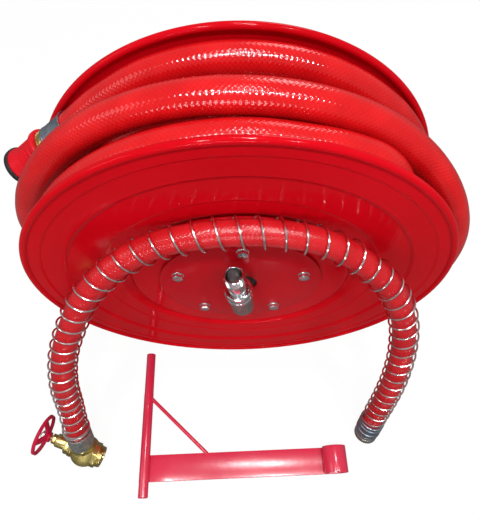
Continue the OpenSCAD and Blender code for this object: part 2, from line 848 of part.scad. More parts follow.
stem_bore_r = stem_r + running_fit;
stem_collar_h = 3;
bonnet_hex_h = 8;
gland_h = 8;
gland_bore_r = 6.5;
gland_plug_h = 3;
gland_hex_r = 8;
gland_hex_h = 7;
neck_top = bonnet_at + bonnet_hex_h + neck_len;
disc_from = seat_at + washer_on_disc_t;
disc_top = disc_from + valve_disc_t;
// The bonnet's plug stops the stem's collar when the disc is fully open.
plug_from = disc_top + gap + stem_collar_h + valve_lift + 1;

module valve_bonnet() {
    color(brass) on_stem() difference() {
        union() {
            translate([0, 0, bonnet_at]) cylinder(r = chamber_r + 4, h = bonnet_hex_h, $fn = 6);
            translate([0, 0, bonnet_at + bonnet_hex_h]) cylinder(r = neck_r, h = neck_len);
            translate([0, 0, plug_from]) cylinder(r = chamber_r - 0.05, h = bonnet_at - plug_from);
        }
        translate([0, 0, plug_from - 1]) cylinder(r = stem_bore_r, h = neck_top - plug_from + 2);
        translate([0, 0, neck_top - gland_h]) cylinder(r = gland_bore_r, h = gland_h + 1);
    }
}

module gland_packing() {
    color(black) on_stem() hollow(gland_bore_r, stem_bore_r, neck_top - gland_h, neck_top - gland_plug_h);
}

module gland_nut() {
    color(brass) on_stem() difference() {
        union() {
            translate([0, 0, neck_top - gland_plug_h]) cylinder(r = gland_bore_r - 0.1, h = gland_plug_h);
            translate([0, 0, neck_top]) cylinder(r = gland_hex_r, h = gland_hex_h, $fn = 6);
        }
        translate([0, 0, neck_top - gland_plug_h - 1])
            cylinder(r = stem_bore_r, h = gland_plug_h + gland_hex_h + 2);
    }
}

wheel_hub_at = neck_top + gland_hex_h + 3;
wheel_hub_h = 10;
wheel_hub_r = 8;
wheel_nut_h = 5;
stem_end = wheel_hub_at + wheel_hub_h + wheel_nut_h + 2;

module valve_stem() {
    color(brass) on_stem() {
        translate([0, 0, disc_top + gap]) cylinder(r = stem_r + 2.5, h = stem_collar_h);
        translate([0, 0, disc_top + gap]) cylinder(r = stem_r, h = stem_end - disc_top - gap);
    }
}

module seat_washer() {
    color(black) on_stem() translate([0, 0, seat_at]) cylinder(r = disc_seal_r, h = washer_on_disc_t);
}

module valve_disc() {
    color(brass) on_stem() translate([0, 0, disc_from]) cylinder(r = disc_seal_r + 0.3, h = valve_disc_t);
}

rim_r = 3;
wheel_rim_r = wheel_d / 2 - rim_r;
rim_at = wheel_hub_at + 13;

module handwheel() {
    root_r = wheel_hub_r - 2;
    root_at = wheel_hub_at + wheel_hub_h / 2;
    spoke_r = 2.4;
    spoke_rise = rim_at - root_at;
    spoke_len = norm([wheel_rim_r - root_r, spoke_rise]);
    color(wheel_red) on_stem() difference() {
        union() {
            translate([0, 0, rim_at]) rotate_extrude() translate([wheel_rim_r, 0]) circle(rim_r);
            translate([0, 0, wheel_hub_at]) cylinder(r = wheel_hub_r, h = wheel_hub_h);
            for (i = [0 : spoke_count - 1])
                rotate([0, 0, i * 360 / spoke_count + 20]) translate([root_r, 0, root_at])
                    rotate([0, 90 - atan2(spoke_rise, wheel_rim_r - root_r), 0])
                        cylinder(r = spoke_r, h = spoke_len);
        }
        translate([0, 0, wheel_hub_at - 1]) cylinder(r = stem_r, h = wheel_hub_h + 2);
    }
}

module handwheel_nut() {
    color(zinc) on_stem() difference() {
        translate([0, 0, wheel_hub_at + wheel_hub_h]) cylinder(r = 6.6, h = wheel_nut_h, $fn = 6);
        translate([0, 0, wheel_hub_at + wheel_hub_h - 1]) cylinder(r = stem_r, h = 7);
    }
}

// ---- Coupling ----

route_end = inlet_route[len(inlet_route) - 1];
down_dir = unit(route_end - inlet_route[len(inlet_route) - 2]);

module on_coupling() {
    placed() along(route_end, down_dir) children();
}

// The tail's flange and washer turn in a relief behind the nut's thread.
tail_flange_at = 9;
tail_flange_t = 2;
coupling_washer_t = 2;
coupling_tail_r = 12;
coupling_bore_r = 9.5;
flange_r = nut_bore_r - 0.4;
relief_from = tail_flange_at - gap;
thread_from = tail_flange_at + tail_flange_t + coupling_washer_t + gap;
ferrule_lip = 4;

module coupling_ferrule() {
    color(zinc) on_coupling() difference() {
        translate([0, 0, ferrule_lip - hose_ferrule_len]) cylinder(r = hose_ferrule_r, h = hose_ferrule_len);
        translate([0, 0, -hose_ferrule_len]) cylinder(r = inlet_hose_d / 2 + 0.1, h = hose_ferrule_len);
        translate([0, 0, -1]) cylinder(r = coupling_tail_r, h = ferrule_lip + 2);
        for (z = [-22, -9]) hollow(hose_ferrule_r + 1, hose_ferrule_r - 1.2, z, z + 4);
    }
}

module coupling_tail() {
    color(brass) on_coupling() difference() {
        union() {
            cylinder(r = coupling_tail_r, h = tail_flange_at);
            translate([0, 0, tail_flange_at]) cylinder(r = flange_r, h = tail_flange_t);
        }
        translate([0, 0, -1]) cylinder(r = coupling_bore_r, h = tail_flange_at + tail_flange_t + 2);
    }
}

module coupling_washer() {
    seat = tail_flange_at + tail_flange_t;
    color(black) on_coupling() hollow(flange_r, coupling_bore_r, seat, seat + coupling_washer_t);
}

module coupling_nut() {
    nut_from = ferrule_lip + gap;
    color(zinc) on_coupling() difference() {
        translate([0, 0, nut_from]) cylinder(r = nut_r, h = nut_len);
        translate([0, 0, nut_from - 1]) cylinder(r = coupling_tail_r + running_fit, h = nut_len);
        translate([0, 0, relief_from]) cylinder(r = nut_bore_r + 0.6, h = thread_from - relief_from);
        translate([0, 0, relief_from]) cylinder(r = nut_bore_r, h = nut_len);
    }
}

// ---- Bracket ----

bracket_at = [-162, -197];
eye_r = eye_bore_r + arm_t;

module on_bracket() {
    placed() translate([bracket_at.x, bracket_at.y, 0]) rotate([0, 0, bracket_turn]) children();
}

module pivot_solid() {
    translate([0, -pivot_tail, pivot_d / 2]) rotate([-90, 0, 0]) cylinder(r = pivot_d / 2, h = pivot_len);
}

near_pin_len = pivot_tail - arm_w / 2;

module pivot_bar() {
    pin_r = pivot_pin_d / 2;
    color(bracket_red) on_bracket() translate([0, -pivot_tail, pivot_d / 2]) rotate([-90, 0, 0]) {
        cylinder(r = pin_r, h = near_pin_len);
        translate([0, 0, near_pin_len]) cylinder(r = pivot_d / 2, h = pivot_len - near_pin_len - far_pin_len);
        translate([0, 0, pivot_len - far_pin_len]) cylinder(r = pin_r, h = far_pin_len);
    }
}

module bracket_arm() {
    color(bracket_red) on_bracket() difference() {
        union() {
            translate([0, -arm_w / 2, 0]) cube([arm_reach, arm_w, arm_t]);
            translate([arm_reach, -arm_w / 2, eye_r]) rotate([-90, 0, 0]) cylinder(r = eye_r, h = arm_w);
        }
        translate([arm_reach, -arm_w / 2 - 1, eye_r]) rotate([-90, 0, 0])
            cylinder(r = eye_bore_r, h = arm_w + 2);
        pivot_solid();
        translate([-pivot_d, -arm_w, -1]) cube([pivot_d, 2 * arm_w, pivot_d]);
    }
}

module brace_rod() {
    foot = [0, brace_on_bar, pivot_d / 2];
    far = [brace_on_arm, arm_w / 2, brace_d / 2 + 0.4];
    color(bracket_red) on_bracket() difference() {
        along(foot, far - foot) cylinder(r = brace_d / 2, h = norm(far - foot) + 4);
        pivot_solid();
        translate([0, -arm_w / 2, 0]) cube([arm_reach, arm_w, pivot_d]);
    }
}

front_disc();
back_disc();
drum_barrel();
front_hub();
back_hub();
front_bolts();
front_nuts();
back_bolts();
back_nuts();
hub_bush();
dust_seal();
waterway_shaft();
shaft_o_rings();
thrust_washer();
retaining_ring();
outlet_sleeve();
outlet_pipe();
outlet_union();
spindle_body();
spindle_collar();
spindle_pipe();
hose_core();
reel_hose();
nozzle_ferrule();
nozzle_tail();
nozzle_body();
nozzle_jet();
nozzle_sleeve();
nozzle_bumper();
inlet_hose();
guard_spring();
valve_ferrule();
valve_tail();
valve_body();
valve_bonnet();
gland_packing();
gland_nut();
valve_stem();
valve_disc();
seat_washer();
handwheel();
handwheel_nut();
coupling_ferrule();
coupling_tail();
coupling_washer();
coupling_nut();
pivot_bar();
bracket_arm();
brace_rod();
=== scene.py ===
# %% [markdown]
# # A swinging fire hose reel, dressed in Blender
#
# The solid model gives this reel its sizes, its bodies and its joints. This
# lesson adds what a solid model lacks: fine meshes with rounded edges, a
# braided hose, a sprung inlet hose, cast brass, and paint that mirrors the
# floor. Each cell makes one piece, or one finish, and says why it is made so.

from math import acos, asin, atan2, ceil, cos, floor, pi, radians, sin, tau

import bmesh
import bpy
from mathutils import Matrix, Vector


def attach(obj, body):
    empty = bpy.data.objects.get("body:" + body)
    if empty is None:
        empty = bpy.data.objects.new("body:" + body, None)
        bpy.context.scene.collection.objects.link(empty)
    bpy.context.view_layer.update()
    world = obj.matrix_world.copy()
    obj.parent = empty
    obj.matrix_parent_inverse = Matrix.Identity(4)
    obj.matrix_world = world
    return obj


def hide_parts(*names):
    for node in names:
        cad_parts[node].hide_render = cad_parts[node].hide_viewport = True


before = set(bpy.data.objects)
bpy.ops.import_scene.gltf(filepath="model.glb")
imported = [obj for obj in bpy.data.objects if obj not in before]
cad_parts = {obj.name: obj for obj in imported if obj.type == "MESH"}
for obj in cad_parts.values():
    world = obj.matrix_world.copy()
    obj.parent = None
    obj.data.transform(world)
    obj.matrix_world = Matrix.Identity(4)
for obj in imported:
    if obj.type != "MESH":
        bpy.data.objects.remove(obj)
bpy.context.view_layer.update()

# %% [markdown]
# ## Places
#
# The reel's own axes start at the front disc's rim, under the hub. The part's
# origin is in the middle of everything that stands on the floor, so a place
# on the reel is shifted once. Local shapes are made in millimetres, which are
# easy to read, and a matrix brings them to metres in their place.

# %% Places of the reel's axes
MM = 0.001
SHIFT = Vector((0.9, 35.1, 0))
DISC_R = 275
DRUM_WIDTH = 165
SHEET = 1.6


def at(point, *turns):
    """A matrix from local millimetres to the reel point, after the turns."""
    place = Matrix.Scale(MM, 4) @ Matrix.Translation(Vector(point) + SHIFT)
    for turn in turns:
        place = place @ turn
    return place


def turn(degrees, axis):
    return Matrix.Rotation(radians(degrees), 4, axis)


def shift(x, y, z):
    return Matrix.Translation((x, y, z))


def along(point, direction):
    """A matrix that lays the local Z axis along a direction."""
    d = Vector(direction).normalized()
    return at(point, Matrix.Rotation(atan2(d.y, d.x), 4, "Z"), Matrix.Rotation(acos(d.z), 4, "Y"))


hub = at((0, 0, DISC_R), turn(-90, "X"))
back_side = hub @ shift(0, 0, DRUM_WIDTH) @ Matrix.Scale(-1, 4, (0, 0, 1))

# %% [markdown]
# ## Camera
#
# The reel is seen from above and in front, as by someone who stands over it.
# A short lens close to it makes the front disc look larger than the back one.
# The camera comes before the pieces, because the cords are checked against
# what it sees.

# %% Camera
camera_data = bpy.data.cameras.new("camera")
camera_data.sensor_width = 36
camera_data.lens = 32.284
camera_data.shift_x = -0.0085
camera_data.shift_y = -0.0161
camera_data.clip_start = 0.01
camera_data.clip_end = 50
camera = bpy.data.objects.new("camera", camera_data)
bpy.context.scene.collection.objects.link(camera)
camera_right = Vector((0.999724, -0.023474, -0.000492))
camera_up = Vector((0.020552, 0.864779, 0.501732))
camera_back = -Vector((0.011353, 0.501603, -0.865023))
camera.matrix_world = Matrix.Translation((-0.0003, -0.2410, 0.8399)) @ Matrix(
    (camera_right, camera_up, camera_back)
).transposed().to_4x4()
bpy.context.scene.camera = camera
bpy.context.scene.view_settings.view_transform = "Standard"

# %% [markdown]
# ## Finishes
#
# Every finish is a Principled shader with a few nodes. A number that is the
# same all over goes straight on the shader's socket. Patterns read object
# coordinates, which are metres in the part's frame, so a pattern keeps its
# real size on each piece. The hose's braid is the exception: it follows the
# hose, so it reads the piece's own UV map, which holds metres along the hose
# and turns round it.


# %% Helpers for finishes
class Finish:
    """One material, with short ways to add texture nodes to its shader."""

    def __init__(self, name, **sockets):
        self.material = bpy.data.materials.new(name)
        self.material.use_nodes = True
        self.tree = self.material.node_tree
        self.shader = self.tree.nodes["Principled BSDF"]
        for socket, value in sockets.items():
            self.shader.inputs[socket.replace("_", " ")].default_value = value
        self.coordinates = self.add("ShaderNodeTexCoord").outputs["Object"]

    def add(self, kind, **settings):
        node = self.tree.nodes.new(kind)
        for key, value in settings.items():
            if key in node.inputs:
                node.inputs[key].default_value = value
            else:
                setattr(node, key, value)
        return node

    def join(self, source, target):
        self.tree.links.new(source, target)

    def noise(self, scale, detail=3.0, roughness=0.5, stretch=None):
        node = self.add("ShaderNodeTexNoise")
        node.inputs["Scale"].default_value = scale
        node.inputs["Detail"].default_value = detail
        node.inputs["Roughness"].default_value = roughness
        source = self.coordinates
        if stretch:
            mapping = self.add("ShaderNodeMapping")
            mapping.inputs["Scale"].default_value = stretch
            self.join(source, mapping.inputs["Vector"])
            source = mapping.outputs["Vector"]
        self.join(source, node.inputs["Vector"])
        return node.outputs["Fac"]

    def ramp(self, source, *stops):
        """Colours or greys at places from 0 to 1 of a source."""
        node = self.add("ShaderNodeValToRGB")
        elements = node.color_ramp.elements
        while len(elements) < len(stops):
            elements.new(0.5)
        for element, (place, colour) in zip(elements, stops):
            element.position = place
            grey = (colour,) * 3 if isinstance(colour, (int, float)) else colour
            element.color = (*grey, 1)
        self.join(source, node.inputs["Fac"])
        return node.outputs["Color"]

    def math(self, operation, first, second=0.0):
        node = self.add("ShaderNodeMath", operation=operation)
        for socket, value in zip(node.inputs, (first, second)):
            if isinstance(value, (int, float)):
                socket.default_value = value
            else:
                self.join(value, socket)
        return node.outputs[0]

    def mix(self, factor, first, second):
        node = self.add("ShaderNodeMix", data_type="RGBA")
        for socket, value in ((node.inputs[0], factor), (node.inputs[6], first), (node.inputs[7], second)):
            if isinstance(value, (int, float)):
                socket.default_value = value
            elif isinstance(value, tuple):
                socket.default_value = (*value, 1)
            else:
                self.join(value, socket)
        return node.outputs[2]

    def colour(self, source):
        self.join(source, self.shader.inputs["Base Color"])

    def rough(self, source, low, high):
        node = self.add("ShaderNodeMapRange")
        node.inputs["To Min"].default_value = low
        node.inputs["To Max"].default_value = high
        self.join(source, node.inputs["Value"])
        self.join(node.outputs["Result"], self.shader.inputs["Roughness"])

    def bump(self, height, distance, strength=1.0):
        node = self.add("ShaderNodeBump")
        node.inputs["Strength"].default_value = strength
        node.inputs["Distance"].default_value = distance
        self.join(height, node.inputs["Height"])
        self.join(node.outputs["Normal"], self.shader.inputs["Normal"])


# %% [markdown]
# ### Gloss red paint
#
# The discs are sprayed and stoved, and they mirror the floor. A hard gloss
# with a faint, slow change of red and a very shallow ripple reads as paint;
# a perfectly even one reads as plastic.


# %% Paints
def gloss_paint(name, deep, bright, low=0.05, high=0.13, ripple=0.00012, shine=0.12):
    paint = Finish(name, Specular_IOR_Level=shine)
    cloud = paint.noise(5.0, 4.0)
    paint.colour(paint.ramp(cloud, (0.3, deep), (0.7, bright)))
    paint.rough(paint.noise(24.0, 5.0), low, high)
    paint.bump(paint.noise(140.0, 2.0), ripple, 0.5)
    return paint.material


disc_paint = gloss_paint("disc_paint", (0.48, 0.001, 0.005), (0.58, 0.002, 0.009))
hub_paint = gloss_paint("hub_paint", (0.42, 0.002, 0.007), (0.50, 0.005, 0.012), 0.10, 0.22)
bracket_paint = gloss_paint("bracket_paint", (0.56, 0.014, 0.050), (0.68, 0.026, 0.072), 0.14, 0.24, shine=0.8)
wheel_paint = gloss_paint("wheel_paint", (0.42, 0.006, 0.035), (0.52, 0.012, 0.055), 0.22, 0.42, 0.0008)
nozzle_plastic = gloss_paint("nozzle_plastic", (0.55, 0.006, 0.014), (0.62, 0.010, 0.020), 0.28, 0.42)

# %% [markdown]
# ### Braided hose
#
# The hose is rubber over a woven cord, and the weave shows through as small
# pillows in crossed rows. Two cosine waves, one along the hose and one round
# it, add up to that lattice. Their sum drives the bump, and it darkens the
# colour a little in the hollows between the pillows, as painted shade, so the
# lit rows break up into dots.


# %% Hose finish
def braided_hose(name, deep, bright, round_cells, cell, depth):
    hose = Finish(name, Specular_IOR_Level=0.5)
    uv = hose.add("ShaderNodeUVMap")
    uv.uv_map = "UVMap"
    split = hose.add("ShaderNodeSeparateXYZ")
    hose.join(uv.outputs["UV"], split.inputs[0])
    lengthwise = hose.math("COSINE", hose.math("MULTIPLY", split.outputs["X"], tau / cell))
    across = hose.math("COSINE", hose.math("MULTIPLY", split.outputs["Y"], tau * round_cells))
    weave = hose.math("MULTIPLY_ADD", hose.math("MULTIPLY", lengthwise, across), 0.5)
    weave.node.inputs[2].default_value = 0.5
    wear = hose.noise(30.0, 4.0)
    base = hose.ramp(wear, (0.3, deep), (0.72, bright))
    # The hollows of the weave, where its height is low, are mixed towards this darker red: painted shade between the
    # pillows.
    dark = tuple(0.72 * c for c in deep)
    hose.colour(hose.mix(hose.ramp(weave, (0.0, 0.35), (0.45, 0.0)), base, dark))
    hose.rough(wear, 0.1, 0.17)
    hose.bump(weave, depth, 0.9)
    return hose.material


reel_hose_finish = braided_hose("reel_hose_finish", (0.52, 0.004, 0.006), (0.66, 0.008, 0.010), 20, 0.0052, 0.00024)
inlet_hose_finish = braided_hose("inlet_hose_finish", (0.44, 0.007, 0.011), (0.56, 0.014, 0.019), 18, 0.0046, 0.0003)

# %% [markdown]
# ### Metals and rubber
#
# Zinc plating is blue-grey and mottled. Brass castings are rough and dull,
# with brighter worn spots. Chrome is a mirror. A brushed finish is the same
# noise, stretched along one axis.


# %% Metals and rubber
def metal(name, dark, light, low, high, scale, grain=0.0, stretch=None):
    finish = Finish(name, Metallic=1.0)
    patches = finish.noise(scale, 5.0, 0.6)
    finish.colour(finish.ramp(patches, (0.32, dark), (0.68, light)))
    finish.rough(finish.noise(scale * 3, 4.0, 0.55, stretch), low, high)
    if grain:
        finish.bump(finish.noise(scale * 8, 3.0, 0.6, stretch), grain, 0.6)
    return finish.material


chrome = metal("chrome", (0.80, 0.80, 0.83), (0.96, 0.96, 0.98), 0.04, 0.11, 110.0)
spring_steel = metal("spring_steel", (0.72, 0.71, 0.70), (0.96, 0.95, 0.94), 0.10, 0.24, 120.0)
satin_steel = metal("satin_steel", (0.42, 0.39, 0.37), (0.58, 0.54, 0.50), 0.30, 0.46, 80.0, 0.0001)
zinc_plate = metal("zinc_plate", (0.24, 0.29, 0.36), (0.50, 0.56, 0.64), 0.24, 0.44, 110.0, 0.0002)
grey_zinc = metal("grey_zinc", (0.36, 0.42, 0.38), (0.78, 0.76, 0.76), 0.28, 0.5, 150.0, 0.0003)
cast_brass = metal("cast_brass", (0.40, 0.32, 0.09), (0.62, 0.52, 0.20), 0.42, 0.58, 70.0, 0.0006)
turned_brass = metal("turned_brass", (0.50, 0.38, 0.11), (0.76, 0.64, 0.27), 0.24, 0.38, 90.0)

rubber = Finish("black_rubber", Base_Color=(0.012, 0.012, 0.014, 1), Specular_IOR_Level=0.4)
rubber.rough(rubber.noise(60.0), 0.3, 0.5)
rubber.bump(rubber.noise(400.0), 0.0002, 0.5)
black_rubber = rubber.material

# %% [markdown]
# ## Ways of making a shape
#
# Most pieces are turned: an outline of radius and height is spun once round
# the local Z axis. The sharp corners of an outline are rounded first, because
# a rounded corner catches a thin line of light as a real edge does.


# %% Helpers for shapes
def rounded(outline, size, steps=3, closed=True):
    """The outline again, with each sharp corner cut by a short curve."""
    result = []
    count = len(outline)
    for i, corner in enumerate(outline):
        here = Vector(corner)
        if not closed and i in (0, count - 1):
            result.append(tuple(here))
            continue
        before, after = Vector(outline[i - 1]) - here, Vector(outline[(i + 1) % count]) - here
        cut = min(size, before.length * 0.45, after.length * 0.45)
        first, last = here + before.normalized() * cut, here + after.normalized() * cut
        for k in range(steps + 1):
            t = k / steps
            result.append(tuple((1 - t) ** 2 * first + 2 * t * (1 - t) * here + t * t * last))
    return result


def turned(outline, steps=96, closed=True):
    """A bmesh of an outline of (radius, height), spun round the Z axis."""
    bm = bmesh.new()
    corners = [bm.verts.new((r, 0, z)) for r, z in outline]
    pairs = list(zip(corners, corners[1:]))
    if closed:
        pairs.append((corners[-1], corners[0]))
    lines = [bm.edges.new(pair) for pair in pairs]
    bmesh.ops.spin(
        bm, geom=corners + lines, cent=(0, 0, 0), axis=(0, 0, 1), angle=tau, steps=steps, use_merge=True
    )
    bmesh.ops.remove_doubles(bm, verts=bm.verts[:], dist=0.001)
    bmesh.ops.recalc_face_normals(bm, faces=bm.faces[:])
    return bm


def ring(inner, outer, low, high, soft=0.4, steps=96):
    """A bmesh of a round ring or tube with softened edges."""
    return turned(rounded([(inner, low), (outer, low), (outer, high), (inner, high)], soft), steps)


def prism(sides, radius, low, high, soft=0.5):
    """A bmesh of a bar with flat sides, such as a nut, with softened edges."""
    bm = bmesh.new()
    bmesh.ops.create_cone(
        bm,
        cap_ends=True,
        segments=sides,
        radius1=radius,
        radius2=radius,
        depth=high - low,
        matrix=shift(0, 0, (low + high) / 2) @ turn(180 / sides, "Z"),
    )
    bmesh.ops.bevel(
        bm, geom=bm.edges[:], offset=soft, segments=2, profile=0.5, affect="EDGES", material=-1
    )
    return bm


def thread(root, crest, pitch, low, turns, steps=32):
    """A bmesh of the ridge of a screw thread, wound round the Z axis."""
    bm = bmesh.new()
    base = 0.6 * (1 if crest > root else -1)
    outline = [(root - base, -0.46), (root, -0.42), (crest, -0.08), (crest, 0.08), (root, 0.42), (root - base, 0.46)]
    corners = [bm.verts.new((r, 0, low + z * pitch)) for r, z in outline]
    face = bm.faces.new(corners)
    bmesh.ops.spin(
        bm,
        geom=[face],
        cent=(0, 0, 0),
        axis=(0, 0, 1),
        dvec=(0, 0, pitch / steps),
        angle=tau * turns,
        steps=round(steps * turns),
        use_merge=False,
    )
    bmesh.ops.recalc_face_normals(bm, faces=bm.faces[:])
    return bm


def gather(*shapes):
    """One bmesh of several, each given alone or with a matrix."""
    whole = bmesh.new()
    for shape in shapes:
        bm, matrix = shape if isinstance(shape, tuple) else (shape, Matrix.Identity(4))
        bm.transform(matrix)
        if matrix.determinant() < 0:
            bmesh.ops.reverse_faces(bm, faces=bm.faces[:])
        part = bpy.data.meshes.new("part")
        bm.to_mesh(part)
        bm.free()
        whole.from_mesh(part)
        bpy.data.meshes.remove(part)
    return whole


def swept(points, radius, sides):
    """A bmesh tube through the points, with a UV map along and round it."""
    bm = bmesh.new()
    along_layer = bm.verts.layers.float.new("along")
    round_layer = bm.verts.layers.float.new("round")
    directions = [(points[min(i + 1, len(points) - 1)] - points[max(i - 1, 0)]).normalized() for i in range(len(points))]
    facing = directions[0].to_track_quat("Z", "Y")
    start = Matrix.Translation(points[0]) @ facing.to_matrix().to_4x4()
    made = bmesh.ops.create_circle(bm, segments=sides, radius=radius, cap_ends=True, matrix=start)
    ring_verts = made["verts"]
    for k, vert in enumerate(ring_verts):
        vert[round_layer] = k / sides
    edges = list({edge for vert in ring_verts for edge in vert.link_edges})
    distance = 0.0
    for i in range(1, len(points)):
        distance += (points[i] - points[i - 1]).length
        swing = directions[i - 1].rotation_difference(directions[i]).to_matrix().to_4x4()
        step = Matrix.Translation(points[i]) @ swing @ Matrix.Translation(-points[i - 1])
        grown = bmesh.ops.extrude_edge_only(bm, edges=edges)["geom"]
        edges = [e for e in grown if isinstance(e, bmesh.types.BMEdge)]
        verts = [v for v in grown if isinstance(v, bmesh.types.BMVert)]
        edges = [e for e in edges if e.verts[0] in set(verts) and e.verts[1] in set(verts)]
        bmesh.ops.transform(bm, matrix=step, verts=verts)
        for vert in verts:
            vert[along_layer] = distance
    bmesh.ops.contextual_create(bm, geom=edges)
    bmesh.ops.recalc_face_normals(bm, faces=bm.faces[:])
    uv_layer = bm.loops.layers.uv.new("UVMap")
    for face in bm.faces:
        turns = [loop.vert[round_layer] for loop in face.loops]
        crosses = max(turns) - min(turns) > 0.5
        for loop, part in zip(face.loops, turns):
            loop[uv_layer].uv = (loop.vert[along_layer], part + 1 if crosses and part < 0.5 else part)
    return bm


def smooth_line(points, steps):
    """Points on a smooth curve through all the given ones."""
    result = []
    for i in range(len(points) - 1):
        before, a = points[max(i - 1, 0)], points[i]
        b, after = points[i + 1], points[min(i + 2, len(points) - 1)]
        for k in range(steps):
            t = k / steps
            result.append(
                0.5
                * (
                    2 * a
                    + (b - before) * t
                    + (2 * before - 5 * a + 4 * b - after) * t * t
                    + (3 * a - before - 3 * b + after) * t**3
                )
            )
    return result + [points[-1]]


triangles = {}


def finished(name, bm, body, slot, material, *nodes, matrix=None, sharp=35):
    """The piece of a bmesh: smooth, painted, riding on its body."""
    if matrix is not None:
        bm.transform(matrix)
        if matrix.determinant() < 0:
            bmesh.ops.reverse_faces(bm, faces=bm.faces[:])
    mesh = bpy.data.meshes.new(name)
    bm.to_mesh(mesh)
    bm.free()
    mesh.shade_smooth()
    mesh.set_sharp_from_angle(angle=radians(sharp))
    mesh.materials.append(material)
    obj = bpy.data.objects.new(name, mesh)
    bpy.context.scene.collection.objects.link(obj)
    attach(obj, body)
    if nodes:
        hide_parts(*nodes)
    triangles[name] = sum(len(p.vertices) - 2 for p in mesh.polygons)
    return obj


# %% [markdown]
# ## The inlet hose
#
# A cord comes first. This hose is 1.08 m of stiff 30 mm rubber, from the valve
# on the floor at the left, over the top of an arch that leans on the front
# disc, and down to the loose coupling at the right. Its route is one smooth
# curve through the same points as the solid model's.

# %% Route of the inlet hose
valve_at = Vector((-257, -170, 24))
hose_up = Vector((0.03, 0.33, 0.94)).normalized()
stem_out = Vector((-0.925, 0.33, 0.16)).normalized()
HOSE_SEAT = 33
INLET_D = 30
route_start = valve_at + HOSE_SEAT * hose_up
inlet_route = [route_start, route_start + 1.1 * INLET_D * hose_up] + [
    Vector(p)
    for p in (
        (-251, -124, 141), (-243, -107, 202), (-230, -84, 254), (-206, -62, 305),
        (-177, -42, 350), (-139, -27, 384), (-96, -16, 406.5), (-48, -12.2, 419),
        (2, -11.2, 423.5), (52, -13, 420), (101, -18, 404), (144, -29, 376),
        (181, -43, 337), (205, -61, 285), (216, -81, 228), (218, -101, 172),
        (215, -118, 118), (210.5, -132, 70), (206.5, -145, 27.5),
    )
]  # fmt: skip
reel = Matrix.Scale(MM, 4) @ Matrix.Translation(SHIFT)
fine_route = smooth_line(inlet_route, 12)
inlet_path = [reel @ p for p in fine_route]
inlet_length = sum((b - a).length for a, b in zip(inlet_path, inlet_path[1:]))
print("inlet hose:", round(inlet_length, 3), "m")
inlet_hose = finished(
    "inlet_hose_tube",
    swept(inlet_path, INLET_D / 2 * MM, 32),
    "supply_hose",
    "hose_red",
    inlet_hose_finish,
    "inlet_hose",
)

# %% [markdown]
# ## The guard spring
#
# A spring over the hose keeps it from kinking. Its wire is swept like a hose,
# along a helix whose axis is the hose's own curve. The turns lie close at the
# valve's end and open out over the arch, where the bend pulls them apart.

# %% Guard spring
WIRE_D = 2.5
SPRING_R = 18.1
OPEN_TURNS = 50
CLOSED_TURNS = 1.5
CLOSED_PITCH = WIRE_D + 0.6
FERRULE_LEN = 31
lengths = [0.0]
for a, b in zip(inlet_route, inlet_route[1:]):
    lengths.append(lengths[-1] + (b - a).length)
spring_from = FERRULE_LEN + 7
spring_to = lengths[-1] - FERRULE_LEN - 3
open_from = spring_from + CLOSED_TURNS * CLOSED_PITCH


def route_dir(i):
    if i == 0 or i == len(inlet_route) - 1:
        a, b = (inlet_route[0], inlet_route[1]) if i == 0 else (inlet_route[-2], inlet_route[-1])
        return (b - a).normalized()
    ahead, behind = inlet_route[i + 1] - inlet_route[i], inlet_route[i] - inlet_route[i - 1]
    return (ahead.normalized() + behind.normalized()).normalized()


def route_at(s):
    """Point and direction of the hose at a distance along its route."""
    i = max(k for k in range(len(lengths) - 1) if lengths[k] <= s or k == 0)
    f = (s - lengths[i]) / (lengths[i + 1] - lengths[i])
    place = fine_route[min(int(i * 12 + f * 12), len(fine_route) - 2)]
    following = fine_route[min(int(i * 12 + f * 12) + 1, len(fine_route) - 1)]
    part = (i + f) * 12 - int(i * 12 + f * 12)
    heading = (route_dir(i) * (1 - f) + route_dir(i + 1) * f).normalized()
    return place.lerp(following, part), heading


def wire_point(n):
    if n <= CLOSED_TURNS:
        s = spring_from + n * CLOSED_PITCH
    else:
        share = (n - CLOSED_TURNS) / OPEN_TURNS
        s = open_from + (spring_to - open_from) * (share - 0.02 * sin(tau * share))
    middle, heading = route_at(s)
    side = heading.cross(Vector((0, 1, 0))).normalized()
    other = side.cross(heading)
    reach = SPRING_R + max(0, 2 - n) * 0.8
    return middle + reach * (cos(tau * n) * side - sin(tau * n) * other)


PER_TURN = 28
wire = [reel @ wire_point(k / PER_TURN) for k in range(int((OPEN_TURNS + CLOSED_TURNS) * PER_TURN) + 1)]
guard_spring = finished(
    "guard_spring_wire", swept(wire, WIRE_D / 2 * MM, 10), "supply_hose", "chrome", spring_steel, "guard_spring"
)

# %% [markdown]
# ## Side discs
#
# Each disc is one pressing: a rolled bead, an outer band, a step down to the
# flat centre, and a stiffening groove. The outline is one closed line, front
# and back of the sheet, so the spin makes a real thin wall. Its corners are
# rounded, because the sheet was bent over a soft die.

# %% Outline of a pressed disc
BEAD_R = 4.5
bead_middle = (DISC_R - BEAD_R, BEAD_R)
face_line = [
    (36, 6), (142.5, 6), (147, 13), (153, 13), (157.5, 6), (181, 6.2), (183.5, 5.3),
    (220.5, 5.8), (223.5, 3), (250.5, 3.3), (253, 2.1), (266.4, 2.9),
]  # fmt: skip
soft_face = rounded(face_line, 3.0, 4, closed=False)
bead_arc = [
    (bead_middle[0] + BEAD_R * cos(radians(a)), bead_middle[1] + BEAD_R * sin(radians(a)))
    for a in range(-156, 178, 9)
]
soft_back = [(r, z + SHEET) for r, z in reversed(soft_face)]
disc_outline = soft_face + bead_arc + soft_back[1:]

# %% Front and back disc
for name, place, node in (("front_disc_pressing", hub, "front_disc"), ("back_disc_pressing", back_side, "back_disc")):
    finished(name, turned(disc_outline, 240), "drum", "disc_red", disc_paint, node, matrix=place, sharp=60)

